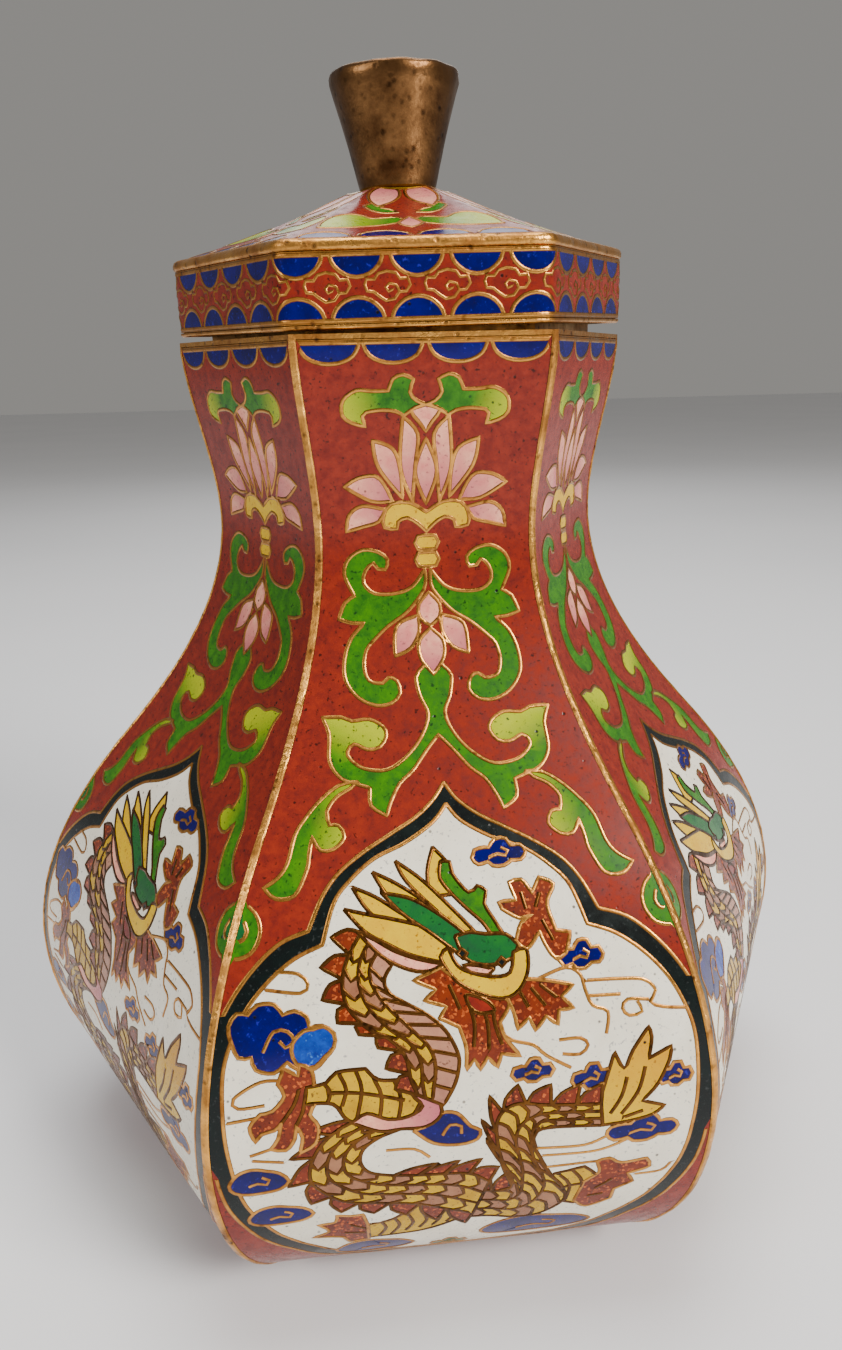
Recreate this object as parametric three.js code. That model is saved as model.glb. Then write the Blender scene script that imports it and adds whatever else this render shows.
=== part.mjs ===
// A six-sided cloisonne jar with a lift-off lid: hollow vessel, inner collar, hollow lid and trumpet knob.
// Millimetres, +Z up. The origin is the middle of the underside, and the front face looks along -Y.
// Every radius of a six-sided form is measured from the axis to its corner, which points along +X.

import * as THREE from 'three';

// Vessel outline, from the foot upwards
const footCornerRadius = 34;
const footRingHeight = 0.7;
const footRingWidth = 3;
const underBellyCornerRadius = 32.5;
const bellyCornerRadius = 54.3;
const shoulderCornerRadius = 39.4;
const neckCornerRadius = 24.4;
const mouthCornerRadius = 27.8;
const footToBelly = 28;
const bellyToShoulder = 31;
const shoulderToNeck = 28.8;
const neckToMouth = 21.2;
const shoulderSlope = 0.92;
const mouthSlope = 0.05;
const vesselWall = 2;
const seamWidth = 0.9;

// Collar that the lid sits round
const collarWall = 0.8;
const collarDepthInVessel = 6;
const collarStandUp = 5;

// Lid
const lidBandHeight = 8.6;
const lidEdgeChamfer = 0.4;
const roofRise = 7.1;
const roofHollow = 0.23;
const lidWall = 1.8;
const lidCornerWidth = 1.1;
const lidTurn = THREE.MathUtils.degToRad(-1.6);
const lidTilt = THREE.MathUtils.degToRad(1.5);
const lidLiftedTowards = THREE.MathUtils.degToRad(60);

// Knob
const knobFootRadius = 4.6;
const knobTopRadius = 7.6;
const knobHeight = 12.3;
const knobRimHeight = 1.2;
const knobEdgeRound = 0.6;
const knobSeatMargin = 0.6;

// Fits and fineness
const touchGap = 0.3;
const sides = 6;
const bowlSteps = 12;
const flareSteps = 9;
const roofSteps = 5;
const knobFacets = 48;
const knobEdgeSteps = 4;

const cornerToFace = Math.cos(Math.PI / sides);
const bellyHeight = footToBelly;
const shoulderHeight = bellyHeight + bellyToShoulder;
const neckHeight = shoulderHeight + shoulderToNeck;
const mouthHeight = neckHeight + neckToMouth;

const enamelRed = new THREE.MeshStandardMaterial({ color: 0xa23a24, roughness: 0.28, metalness: 0 });
const collarBrass = new THREE.MeshStandardMaterial({ color: 0xa8894c, roughness: 0.4, metalness: 1 });
const knobBrass = new THREE.MeshStandardMaterial({ color: 0x8a6238, roughness: 0.38, metalness: 1 });

// A smooth rise between two heights, with a chosen steepness at each end
function hermite(t, startValue, startSlope, endValue, endSlope) {
  const t2 = t * t;
  const t3 = t2 * t;
  const fromStart = (2 * t3 - 3 * t2 + 1) * startValue + (t3 - 2 * t2 + t) * startSlope;
  const fromEnd = (3 * t2 - 2 * t3) * endValue + (t3 - t2) * endSlope;
  return fromStart + fromEnd;
}

// The three flared stretches above the belly, each with its heights, corner radii and slopes
const flares = [
  [bellyHeight, bellyCornerRadius, 0, shoulderHeight, shoulderCornerRadius, -shoulderSlope],
  [shoulderHeight, shoulderCornerRadius, -shoulderSlope, neckHeight, neckCornerRadius, 0],
  [neckHeight, neckCornerRadius, 0, mouthHeight, mouthCornerRadius, mouthSlope],
];

function flaredRadius(height) {
  const flare = flares.find((candidate) => height <= candidate[3]) ?? flares[flares.length - 1];
  const [low, lowRadius, lowSlope, high, highRadius, highSlope] = flare;
  const span = high - low;
  return hermite((height - low) / span, lowRadius, lowSlope * span, highRadius, highSlope * span);
}

// The wall is set back squarely from the outside, so a sloping stretch moves its corners in further
function innerFlaredRadius(height) {
  const step = 0.05;
  const slope = (flaredRadius(height + step) - flaredRadius(height - step)) / (2 * step);
  const setBack = vesselWall * Math.hypot(1, slope * cornerToFace) / cornerToFace;
  return flaredRadius(height) - setBack;
}

// Quarter oval under the belly, from the flat floor out to the widest line
function bowlProfile(setBack) {
  const floorHeight = footRingHeight + setBack;
  const reach = bellyCornerRadius - setBack / cornerToFace - underBellyCornerRadius;
  const points = [];
  for (let step = 0; step < bowlSteps; step += 1) {
    const angle = (step / bowlSteps) * (Math.PI / 2);
    points.push([
      underBellyCornerRadius + reach * Math.sin(angle),
      bellyHeight - (bellyHeight - floorHeight) * Math.cos(angle),
    ]);
  }
  return points;
}

function flareProfile(radiusAt) {
  const points = [];
  for (const [low, , , high] of flares) {
    for (let step = 0; step < flareSteps; step += 1) {
      const height = low + (high - low) * (step / flareSteps);
      points.push([radiusAt(height), height]);
    }
  }
  points.push([radiusAt(mouthHeight), mouthHeight]);
  return points;
}

// One ring of a six-sided section: every corner is cut off by a narrow flat
function sectionRing(cornerRadius, height, flatWidth) {
  const cut = flatWidth / (2 * Math.sin(Math.PI / 3));
  const side = cornerRadius;
  const ring = [];
  for (let corner = 0; corner < sides; corner += 1) {
    const here = new THREE.Vector2(cornerRadius, 0).rotateAround(new THREE.Vector2(), (corner * 2 * Math.PI) / sides);
    for (const neighbour of [-1, 1]) {
      const angle = ((corner + neighbour) * 2 * Math.PI) / sides;
      const there = new THREE.Vector2(cornerRadius, 0).rotateAround(new THREE.Vector2(), angle);
      const point = here.clone().lerp(there, cut / side);
      ring.push([point.x, point.y, height]);
    }
  }
  return ring;
}

// Joins the rings of a profile into one closed body. A profile runs outwards along the underside, up the
// outside and back down the inside. It closes on itself, or starts and ends on the axis.
function sixSidedBody(profile, flatWidth) {
  const positions = [];
  const rings = profile.map(([cornerRadius, height]) => {
    const first = positions.length / 3;
    const points = cornerRadius === 0 ? [[0, 0, height]] : sectionRing(cornerRadius, height, flatWidth);
    points.forEach((point) => positions.push(...point));
    return { first, count: points.length };
  });
  const around = 2 * sides;
  const indices = [];
  const onAxis = rings[0].count === 1;
  const strips = onAxis ? rings.length - 1 : rings.length;
  for (let strip = 0; strip < strips; strip += 1) {
    const lower = rings[strip];
    const upper = rings[(strip + 1) % rings.length];
    for (let spoke = 0; spoke < around; spoke += 1) {
      const next = (spoke + 1) % around;
      const lowerHere = lower.first + (spoke % lower.count);
      const lowerNext = lower.first + (next % lower.count);
      const upperHere = upper.first + (spoke % upper.count);
      const upperNext = upper.first + (next % upper.count);
      if (lower.count > 1) {
        indices.push(lowerHere, lowerNext, upperNext);
      }
      if (upper.count > 1) {
        indices.push(lowerHere, upperNext, upperHere);
      }
    }
  }
  const geometry = new THREE.BufferGeometry();
  geometry.setAttribute('position', new THREE.Float32BufferAttribute(positions, 3));
  geometry.setIndex(indices);
  geometry.computeVertexNormals();
  return geometry;
}

// The vessel: a hollow shell on a low foot ring, its floor as thick as its walls
function makeVessel() {
  const ringInside = footCornerRadius - footRingWidth / cornerToFace;
  const outside = [
    [0, footRingHeight],
    [ringInside, footRingHeight],
    [ringInside, 0],
    [footCornerRadius, 0],
    ...bowlProfile(0).filter(([cornerRadius]) => cornerRadius > footCornerRadius),
    ...flareProfile(flaredRadius),
  ];
  const inside = [[0, footRingHeight + vesselWall], ...bowlProfile(vesselWall), ...flareProfile(innerFlaredRadius)];
  const vessel = new THREE.Mesh(sixSidedBody([...outside, ...inside.reverse()], seamWidth), enamelRed);
  vessel.name = 'vessel';
  return vessel;
}

// The collar: a straight brass strip bent round the inside of the mouth
function collarCornerRadius() {
  const foot = mouthHeight - collarDepthInVessel;
  const tightest = Math.min(innerFlaredRadius(foot), innerFlaredRadius(mouthHeight));
  return tightest - touchGap / cornerToFace;
}

function makeCollar() {
  const foot = mouthHeight - collarDepthInVessel;
  const top = mouthHeight + collarStandUp;
  const outer = collarCornerRadius();
  const inner = outer - collarWall / cornerToFace;
  const profile = [[outer, foot], [outer, top], [inner, top], [inner, foot]];
  const collar = new THREE.Mesh(sixSidedBody(profile, seamWidth), collarBrass);
  collar.name = 'collar';
  return collar;
}

// The lid, in its own frame: height 0 is its lower edge
const apexCornerRadius = (knobFootRadius + knobSeatMargin) / cornerToFace;
const roofEdgeCornerRadius = mouthCornerRadius - lidEdgeChamfer / cornerToFace;
const apexHeight = lidBandHeight + roofRise;

function roofHeight(cornerRadius) {
  const inwards = (roofEdgeCornerRadius - cornerRadius) / (roofEdgeCornerRadius - apexCornerRadius);
  const t = THREE.MathUtils.clamp(inwards, 0, 1);
  return lidBandHeight + roofRise * ((1 - roofHollow) * t + roofHollow * t * t);
}

function ceilingHeight(cornerRadius) {
  const steepest = (roofRise * (1 + roofHollow)) / ((roofEdgeCornerRadius - apexCornerRadius) * cornerToFace);
  return roofHeight(cornerRadius) - lidWall * Math.hypot(1, steepest);
}

function roofProfile(edgeCornerRadius, heightAt) {
  const points = [];
  for (let step = 0; step <= roofSteps; step += 1) {
    const cornerRadius = edgeCornerRadius + (apexCornerRadius - edgeCornerRadius) * (step / roofSteps);
    points.push([cornerRadius, heightAt(cornerRadius)]);
  }
  points.push([0, heightAt(0)]);
  return points;
}

function makeLid() {
  const inner = mouthCornerRadius - lidWall / cornerToFace;
  const outside = [
    [mouthCornerRadius, 0],
    [mouthCornerRadius, lidBandHeight - lidEdgeChamfer],
    ...roofProfile(roofEdgeCornerRadius, roofHeight),
  ];
  const inside = [[inner, 0], ...roofProfile(inner, ceilingHeight)];
  const profile = [...inside.reverse(), ...outside];
  const lid = new THREE.Mesh(sixSidedBody(profile, lidCornerWidth), enamelRed);
  lid.name = 'lid';
  return lid;
}

// The knob: a turned trumpet with a short straight rim and a rounded flat top
function makeKnob() {
  const flareTop = knobHeight - knobRimHeight;
  const points = [
    new THREE.Vector2(0, 0),
    new THREE.Vector2(knobFootRadius, 0),
    new THREE.Vector2(knobTopRadius, flareTop),
  ];
  for (let step = 0; step <= knobEdgeSteps; step += 1) {
    const angle = (step / knobEdgeSteps) * (Math.PI / 2);
    points.push(new THREE.Vector2(
      knobTopRadius - knobEdgeRound * (1 - Math.cos(angle)),
      knobHeight - knobEdgeRound * (1 - Math.sin(angle)),
    ));
  }
  points.push(new THREE.Vector2(0, knobHeight));
  const geometry = new THREE.LatheGeometry(points, knobFacets);
  geometry.rotateX(Math.PI / 2);
  const knob = new THREE.Mesh(geometry, knobBrass);
  knob.name = 'knob';
  knob.position.z = apexHeight + touchGap;
  return knob;
}

// The lid sits a little turned and cocked: one corner is down on the mouth, the opposite one is lifted
function seatedLid() {
  const upright = new THREE.Group();
  upright.add(makeLid(), makeKnob());
  upright.rotation.z = lidTurn;
  const lifted = new THREE.Vector3(Math.cos(lidLiftedTowards), Math.sin(lidLiftedTowards), 0);
  const restingCorner = lifted.clone().multiplyScalar(-mouthCornerRadius);
  upright.position.copy(restingCorner).negate();
  const seat = new THREE.Group();
  seat.add(upright);
  seat.position.set(restingCorner.x, restingCorner.y, mouthHeight + touchGap);
  seat.quaternion.setFromAxisAngle(new THREE.Vector3(lifted.y, -lifted.x, 0), lidTilt);
  return seat;
}

const jar = new THREE.Group();
jar.add(makeVessel(), makeCollar(), seatedLid());

export default jar;
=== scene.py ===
import math

import bpy
import numpy as np
from mathutils import Matrix, Vector, geometry, kdtree, noise


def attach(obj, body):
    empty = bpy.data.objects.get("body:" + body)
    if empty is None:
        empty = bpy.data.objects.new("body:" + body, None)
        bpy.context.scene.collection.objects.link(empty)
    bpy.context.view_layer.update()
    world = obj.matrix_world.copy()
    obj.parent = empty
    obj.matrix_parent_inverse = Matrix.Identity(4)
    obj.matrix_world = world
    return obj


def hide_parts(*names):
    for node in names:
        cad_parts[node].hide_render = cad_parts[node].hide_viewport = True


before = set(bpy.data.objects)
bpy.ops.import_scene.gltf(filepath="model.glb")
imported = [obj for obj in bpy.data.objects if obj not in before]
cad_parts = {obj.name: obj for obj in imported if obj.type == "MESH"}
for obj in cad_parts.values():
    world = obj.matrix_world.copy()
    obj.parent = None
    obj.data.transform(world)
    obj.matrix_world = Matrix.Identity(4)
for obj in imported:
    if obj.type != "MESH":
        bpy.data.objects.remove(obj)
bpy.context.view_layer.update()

# The vessel's metal body: six curved copper sides soldered along gilt corner strips, with a gilt
# mouth edge and foot ring. Its sides are sunk between the strips to hold the enamel, and inside
# and underneath it carries plain turquoise counter-enamel. It stands free on its foot ring.
MM = 0.001
FLAT = math.cos(math.radians(30))
foot_corner_radius = 34.0
foot_ring_height = 0.7
foot_ring_width = 3.0
under_belly_radius = 32.5
belly_radius = 54.3
shoulder_radius = 39.4
neck_radius = 24.4
mouth_radius = 27.8
belly_height = 28.0
shoulder_height = 59.0
neck_height = 87.8
mouth_height = 109.0
shoulder_slope = -0.92
mouth_slope = 0.05
wall = 2.0
bend_steps = 14
strip_reach = 0.52
strip_rise = 0.16
strip_skirt = 0.04
strip_shape = ((1.0, 0.2), (0.62, 0.85))
strip_ridge = 0.31
strip_wobble = 0.07
wobble_per_mm = 0.55
wobble_per_corner = 9.7
wobble_seed = 3.1
strip_fade_at_foot = 2.0
strip_fade_at_mouth = 1.5
enamel_sink = 0.36
enamel_top = 0.55
enamel_bottom = 121.4
enamel_step = 0.05
hair = 0.01
mouth_lip = 0.2
body_row = 1.0
foot_row = 0.3
closing_radius = 0.01


def glow(colour):
    """A paint colour in everyday 0-255 numbers, as the shader wants it."""
    made = [((c / 255 + 0.055) / 1.055) ** 2.4 if c > 10 else c / 3294.6 for c in colour]
    return (*made, 1.0)


def heading(degrees):
    """The flat direction at this angle round the box."""
    return np.array([math.cos(math.radians(degrees)), math.sin(math.radians(degrees)), 0.0])


def flare(low, low_slope, high, high_slope, start, end):
    """Heights and corner radii of one smooth stretch of the side, its lower end left out."""
    span = end - start
    made = []
    for step in range(1, bend_steps + 1):
        t = step / bend_steps
        radius = low * (2 * t**3 - 3 * t**2 + 1) + high * (3 * t**2 - 2 * t**3)
        radius += span * (low_slope * (t**3 - 2 * t**2 + t) + high_slope * (t**3 - t**2))
        made.append((start + span * t, radius))
    return made


def side_profile():
    """Heights and corner radii of the vessel's outside, from the foot's top edge to the mouth."""
    made = []
    for step in range(bend_steps + 1):
        turn = math.radians(90 * step / bend_steps)
        radius = under_belly_radius + (belly_radius - under_belly_radius) * math.sin(turn)
        made.append((belly_height - (belly_height - foot_ring_height) * math.cos(turn), radius))
    made += flare(belly_radius, 0, shoulder_radius, shoulder_slope, belly_height, shoulder_height)
    made += flare(shoulder_radius, shoulder_slope, neck_radius, 0, shoulder_height, neck_height)
    made += flare(neck_radius, 0, mouth_radius, mouth_slope, neck_height, mouth_height)
    return np.array(made)


profile = side_profile()[::-1]
heights = profile[:, 0]
apothems = profile[:, 1] * FLAT
steps_down = np.hypot(np.diff(heights), np.diff(apothems))
downs = np.concatenate([[0], np.cumsum(steps_down)])
lean = np.gradient(apothems, downs)
drop = -np.gradient(heights, downs)
leans = lean / np.hypot(lean, drop)
drops = drop / np.hypot(lean, drop)
under_belly = slice(-bend_steps - 1, None)
foot_edge_down = float(np.interp(-foot_corner_radius * FLAT, -apothems[under_belly], downs[under_belly]))


def on_side(side, across, down, lift):
    """Points on one side of the vessel, from mm across its middle line and mm down from the mouth."""
    out = heading(30 + 60 * side)
    along = heading(120 + 60 * side)
    reach = np.interp(down, downs, apothems) + lift * np.interp(down, downs, drops)
    height = np.interp(down, downs, heights) + lift * np.interp(down, downs, leans)
    return np.outer(reach, out) + np.outer(across, along) + np.outer(height, (0, 0, 1))


def strip_ring(radius, height, facing_out, facing_up, sunk, standing):
    """One level ring of the body: at each corner the raised strip, and beside it the sunk side."""
    ring = []
    upright = np.array([0, 0, 1])
    for corner in range(6):
        tip = heading(60 * corner) * radius + np.array([0, 0, height])
        before = heading(60 * corner - 30)
        after = heading(60 * corner + 30)
        back = -heading(60 * corner + 60)
        onward = heading(60 * corner + 120)
        facing = np.array([facing_out, facing_out, facing_up])
        place = Vector((corner * wobble_per_corner, height * wobble_per_mm, wobble_seed))
        wobble = standing * strip_wobble * noise.noise(place)
        rise = standing * (strip_rise + wobble)
        section = [(strip_reach + strip_skirt, -sunk)]
        section += [(strip_reach * reach, rise * lift) for reach, lift in strip_shape]
        for reach, lift in section:
            ring.append(tip + back * reach + (before + upright) * lift * facing)
        middle = tip - heading(60 * corner) * strip_reach * strip_ridge
        ring.append(middle + (heading(60 * corner) + upright) * rise * facing)
        for reach, lift in section[::-1]:
            ring.append(tip + onward * reach + (after + upright) * lift * facing)
    return ring


def make_mesh(name, points, faces, materials, choices=None, smooth=True):
    """A piece from points in mm, riding on the box's one body."""
    mesh = bpy.data.meshes.new(name)
    mesh.from_pydata([tuple(float(c) * MM for c in p) for p in points], [], faces)
    for material in materials:
        mesh.materials.append(material)
    if choices is not None:
        mesh.polygons.foreach_set("material_index", choices)
    mesh.polygons.foreach_set("use_smooth", [smooth] * len(mesh.polygons))
    mesh.update()
    piece = bpy.data.objects.new(name, mesh)
    bpy.context.scene.collection.objects.link(piece)
    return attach(piece, "root")


def rings_to_faces(ring_count, ring_size):
    """The four-sided faces between neighbouring rings of the same size."""
    made = []
    for row in range(ring_count - 1):
        for i in range(ring_size):
            j = (i + 1) % ring_size
            low = row * ring_size
            made.append((low + i, low + j, low + ring_size + j, low + ring_size + i))
    return made


def end_faces(ring_count, ring_size):
    """The two faces that close a row of rings, at its first ring and at its last."""
    last = (ring_count - 1) * ring_size
    return [tuple(range(ring_size))[::-1], tuple(range(last, last + ring_size))]


def add_node(tree, kind, values=None, **settings):
    """A shader node with its settings. Each socket named gets a plain value, or a link from a socket."""
    node = tree.nodes.new(kind)
    for setting, value in settings.items():
        setattr(node, setting, value)
    for socket, value in (values or {}).items():
        if isinstance(value, bpy.types.NodeSocket):
            tree.links.new(value, node.inputs[socket])
        else:
            node.inputs[socket].default_value = value
    return node


def spread(tree, value, low, high, to_low=0.0, to_high=1.0):
    """A value's stretch from low to high, laid over 0 to 1 or over another stretch."""
    sockets = {"Value": value, "From Min": low, "From Max": high, "To Min": to_low, "To Max": to_high}
    return add_node(tree, "ShaderNodeMapRange", sockets).outputs["Result"]


def reckon(tree, operation, first, second):
    """The product or difference of two values, each a socket or a number."""
    return add_node(tree, "ShaderNodeMath", {0: first, 1: second}, operation=operation).outputs["Value"]


def clouding(tree, place, scale, detail, roughness):
    """A cloudy texture's value."""
    sockets = {"Vector": place, "Scale": scale, "Detail": detail, "Roughness": roughness}
    return add_node(tree, "ShaderNodeTexNoise", sockets).outputs["Fac"]


def scatter(tree, place, scale):
    """A scatter of dots, as the distance to the nearest dot and a random colour for each."""
    return add_node(tree, "ShaderNodeTexVoronoi", {"Vector": place, "Scale": scale}).outputs


def one_part(tree, colour, part):
    """One of the three parts of a colour, as a value."""
    return add_node(tree, "ShaderNodeSeparateColor", {"Color": colour}).outputs[part]


def blend_colour(tree, share, first, second):
    """What goes by a share from a first colour to a second, each a socket or 0-255 numbers."""
    sockets = {0: share}
    for socket, colour in ((6, first), (7, second)):
        sockets[socket] = colour if isinstance(colour, bpy.types.NodeSocket) else glow(colour)
    return add_node(tree, "ShaderNodeMix", sockets, data_type="RGBA").outputs[2]


def new_group(name, label, value):
    """A new shared node group, its one named input, and the place on the piece that its textures use."""
    tree = bpy.data.node_groups.new(name, "ShaderNodeTree")
    tree.interface.new_socket(label, in_out="INPUT", socket_type="NodeSocketFloat").default_value = value
    given = tree.nodes.new("NodeGroupInput").outputs[label]
    return tree, given, add_node(tree, "ShaderNodeTexCoord").outputs["Object"]


def close_group(tree, outputs):
    """The finished group, with what it puts out under each name."""
    for label in outputs:
        tree.interface.new_socket(label, in_out="OUTPUT", socket_type="NodeSocketFloat")
    add_node(tree, "NodeGroupOutput", outputs)
    return tree


def metal_wear_group():
    """Wear shared by all the metal: a slow tone, fine pits and scratches, and a height to match."""
    tree, grain, place = new_group("metal_wear", "Grain", 1.0)
    tone = spread(tree, clouding(tree, place, 260, 5, 0.65), 0.36, 0.66)
    pits = spread(tree, scatter(tree, place, 900)["Distance"], 0.34, 0.12)
    pits = reckon(tree, "MULTIPLY", pits, tone)
    height = reckon(tree, "SUBTRACT", clouding(tree, place, 1500, 3, 0.6), pits)
    height = reckon(tree, "MULTIPLY", height, grain)
    return close_group(tree, {"Tone": tone, "Pits": pits, "Height": height})


metal_wear = metal_wear_group()


def new_material(name, effect, **values):
    """A material, its node tree, and a shared effect placed in it."""
    material = bpy.data.materials.new(name)
    material.use_nodes = True
    tree = material.node_tree
    return material, tree, add_node(tree, "ShaderNodeGroup", values, node_tree=effect).outputs


def feed_shader(tree, colour, rough, height, bump, depth):
    """The material's own shader, fed its colour, its roughness and its relief."""
    shader = tree.nodes["Principled BSDF"]
    relief = add_node(tree, "ShaderNodeBump", {"Height": height, "Strength": bump, "Distance": depth})
    tree.links.new(colour, shader.inputs["Base Color"])
    tree.links.new(rough, shader.inputs["Roughness"])
    tree.links.new(relief.outputs["Normal"], shader.inputs["Normal"])
    return shader


def metal(name, bright, dull, pitted, rough_low=0.22, rough_high=0.5, bump=0.3, edge=None):
    """A worn metal: bright where rubbed, dull where it has aged, dark in the pits and at a wire's foot."""
    material, tree, wear = new_material(name, metal_wear)
    colour = blend_colour(tree, wear["Tone"], bright, dull)
    if edge is not None:
        shade = add_node(tree, "ShaderNodeAttribute", attribute_name="shade").outputs["Fac"]
        colour = blend_colour(tree, spread(tree, shade, 0.45, 1.0), colour, edge)
    colour = blend_colour(tree, wear["Pits"], colour, pitted)
    rough = spread(tree, wear["Tone"], 0.0, 1.0, rough_low, rough_high)
    shader = feed_shader(tree, colour, rough, wear["Height"], bump, 0.0001)
    shader.inputs["Metallic"].default_value = 1.0
    return material


def enamel_fire_group():
    """What firing leaves in every enamel: clouds, specks, burst-bubble pits, sparks and a soft height."""
    tree, cloud_scale, place = new_group("enamel_fire", "Cloud Scale", 330.0)
    cloud = clouding(tree, place, cloud_scale, 5, 0.7)
    bubbles = scatter(tree, place, 620)
    flakes = scatter(tree, place, 3600)
    burst = spread(tree, one_part(tree, bubbles["Color"], "Red"), 0.76, 0.84)
    pits = reckon(tree, "MULTIPLY", spread(tree, bubbles["Distance"], 0.14, 0.07), burst)
    return close_group(tree, {
        "Cloud": spread(tree, cloud, 0.36, 0.66),
        "Specks": spread(tree, clouding(tree, place, 2300, 2, 0.5), 0.62, 0.72),
        "Pits": pits,
        "Height": reckon(tree, "SUBTRACT", reckon(tree, "MULTIPLY", cloud, 0.35), pits),
        "Spark": spread(tree, one_part(tree, flakes["Color"], "Green"), 0.8, 0.95),
    })


enamel_fire = enamel_fire_group()


def enamel(name, colour, deep, speck, pitted, fades_to=None, sparkle=None, rough=0.2, cloud_scale=330.0):
    """One fired enamel colour. It can fade to a second colour along its cell, and sparkle."""
    material, tree, fire = new_material(name, enamel_fire, **{"Cloud Scale": cloud_scale})
    body = blend_colour(tree, fire["Cloud"], colour, deep)
    if fades_to is not None:
        shade = add_node(tree, "ShaderNodeAttribute", attribute_name="shade").outputs["Fac"]
        body = blend_colour(tree, shade, body, fades_to)
    if sparkle is not None:
        body = blend_colour(tree, fire["Spark"], body, sparkle)
    body = blend_colour(tree, fire["Specks"], body, speck)
    body = blend_colour(tree, fire["Pits"], body, pitted)
    dulling = spread(tree, fire["Cloud"], 0.0, 1.0, rough, rough + 0.14)
    shader = feed_shader(tree, body, dulling, fire["Height"], 0.25, 0.00012)
    shader.inputs["Specular IOR Level"].default_value = 0.2
    return material


gilt = metal("gilt_strip", (224, 162, 78), (142, 92, 42), (56, 34, 18), bump=0.8)
counter_enamel = enamel(
    "counter_enamel", (52, 126, 150), (36, 98, 124), (20, 60, 80), (20, 40, 50), rough=0.3
)
GILDED = 0
ENAMELLED = 1


def build_vessel():
    """The closed shell: underside, foot ring, outside with its strips, mouth, inside and floor."""
    foot_inside = foot_corner_radius - foot_ring_width / FLAT
    foot = [
        (closing_radius, foot_ring_height),
        (foot_inside, foot_ring_height),
        (foot_inside, 0.0),
        (foot_corner_radius, 0.0),
    ]
    rings = [strip_ring(radius, height, 1, 0, 0, 0) for radius, height in foot]
    paints = [ENAMELLED, GILDED, GILDED, GILDED]
    marks = list(np.arange(foot_edge_down, enamel_bottom + enamel_step, -foot_row))
    marks += list(np.arange(enamel_bottom, enamel_top, -body_row))
    marks += [enamel_top, enamel_top - enamel_step, mouth_lip, 0.0]
    for down in marks:
        radius = float(np.interp(down, downs, apothems)) / FLAT
        height = float(np.interp(down, downs, heights))
        facing_out = float(np.interp(down, downs, drops))
        facing_up = float(np.interp(down, downs, leans))
        sunk = enamel_sink if enamel_top - hair < down < enamel_bottom + hair else 0.0
        standing = min(1.0, max(0.0, (foot_edge_down - down) / strip_fade_at_foot))
        standing *= min(1.0, max(0.0, down / strip_fade_at_mouth))
        rings.append(strip_ring(radius, height, facing_out, facing_up, sunk, standing))
        paints.append(GILDED)
    inner_radii = profile[:, 1] - wall * np.hypot(1, np.gradient(apothems, heights)) / FLAT
    inside = [(radius, height) for radius, height in zip(inner_radii, heights) if height > belly_height]
    for step in range(bend_steps + 1):
        turn = math.radians(90 - 90 * step / bend_steps)
        radius = under_belly_radius + (belly_radius - wall / FLAT - under_belly_radius) * math.sin(turn)
        inside.append((radius, belly_height - (belly_height - foot_ring_height - wall) * math.cos(turn)))
    inside.append((closing_radius, foot_ring_height + wall))
    rings += [strip_ring(radius, height, 1, 0, 0, 0) for radius, height in inside]
    paints += [ENAMELLED] * (len(inside) - 1)
    size = len(rings[0])
    points = [point for ring in rings for point in ring]
    faces = rings_to_faces(len(rings), size)
    choices = [paints[face // size] for face in range(len(faces))] + [ENAMELLED, ENAMELLED]
    faces += end_faces(len(rings), size)
    piece = make_mesh("vessel_body", points, faces, [gilt, counter_enamel], choices, smooth=False)
    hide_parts("vessel")


build_vessel()


# The enamel sides: six cloisonne panels, one on each sunk side, all of the same design. Flat wire is
# bent to the drawing and soldered on edge, glass paste is fired between the wires and ground level,
# and the wires are then gilded, all but the dragon's, so they stand a hair above the glass.
wire_half = 0.23
dark_half = 0.22
wire_rise = 0.07
wire_roundness = 0.55
wire_foot = 0.985
draw_step = 0.62
wire_step = 0.1
grid_step = 2.2
grid_clearance = 0.4
halvings = 5
same_spot = 0.01
least_length = 1e-6
least_area = 1e-7
far_off = 1e4
panel_thickness = 0.3
panel_gap = strip_reach + 0.05
panel_top = 0.6
panel_bottom = 121.3
side_margin = 0.35
end_margin = 0.3
map_border = 0.5
map_edge = 0.3
map_left = 0.5
map_gap = 2.0
map_row_gap = 1.0
map_spread = 1.6
map_room = 3.0
hidden_scale = 0.5

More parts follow.
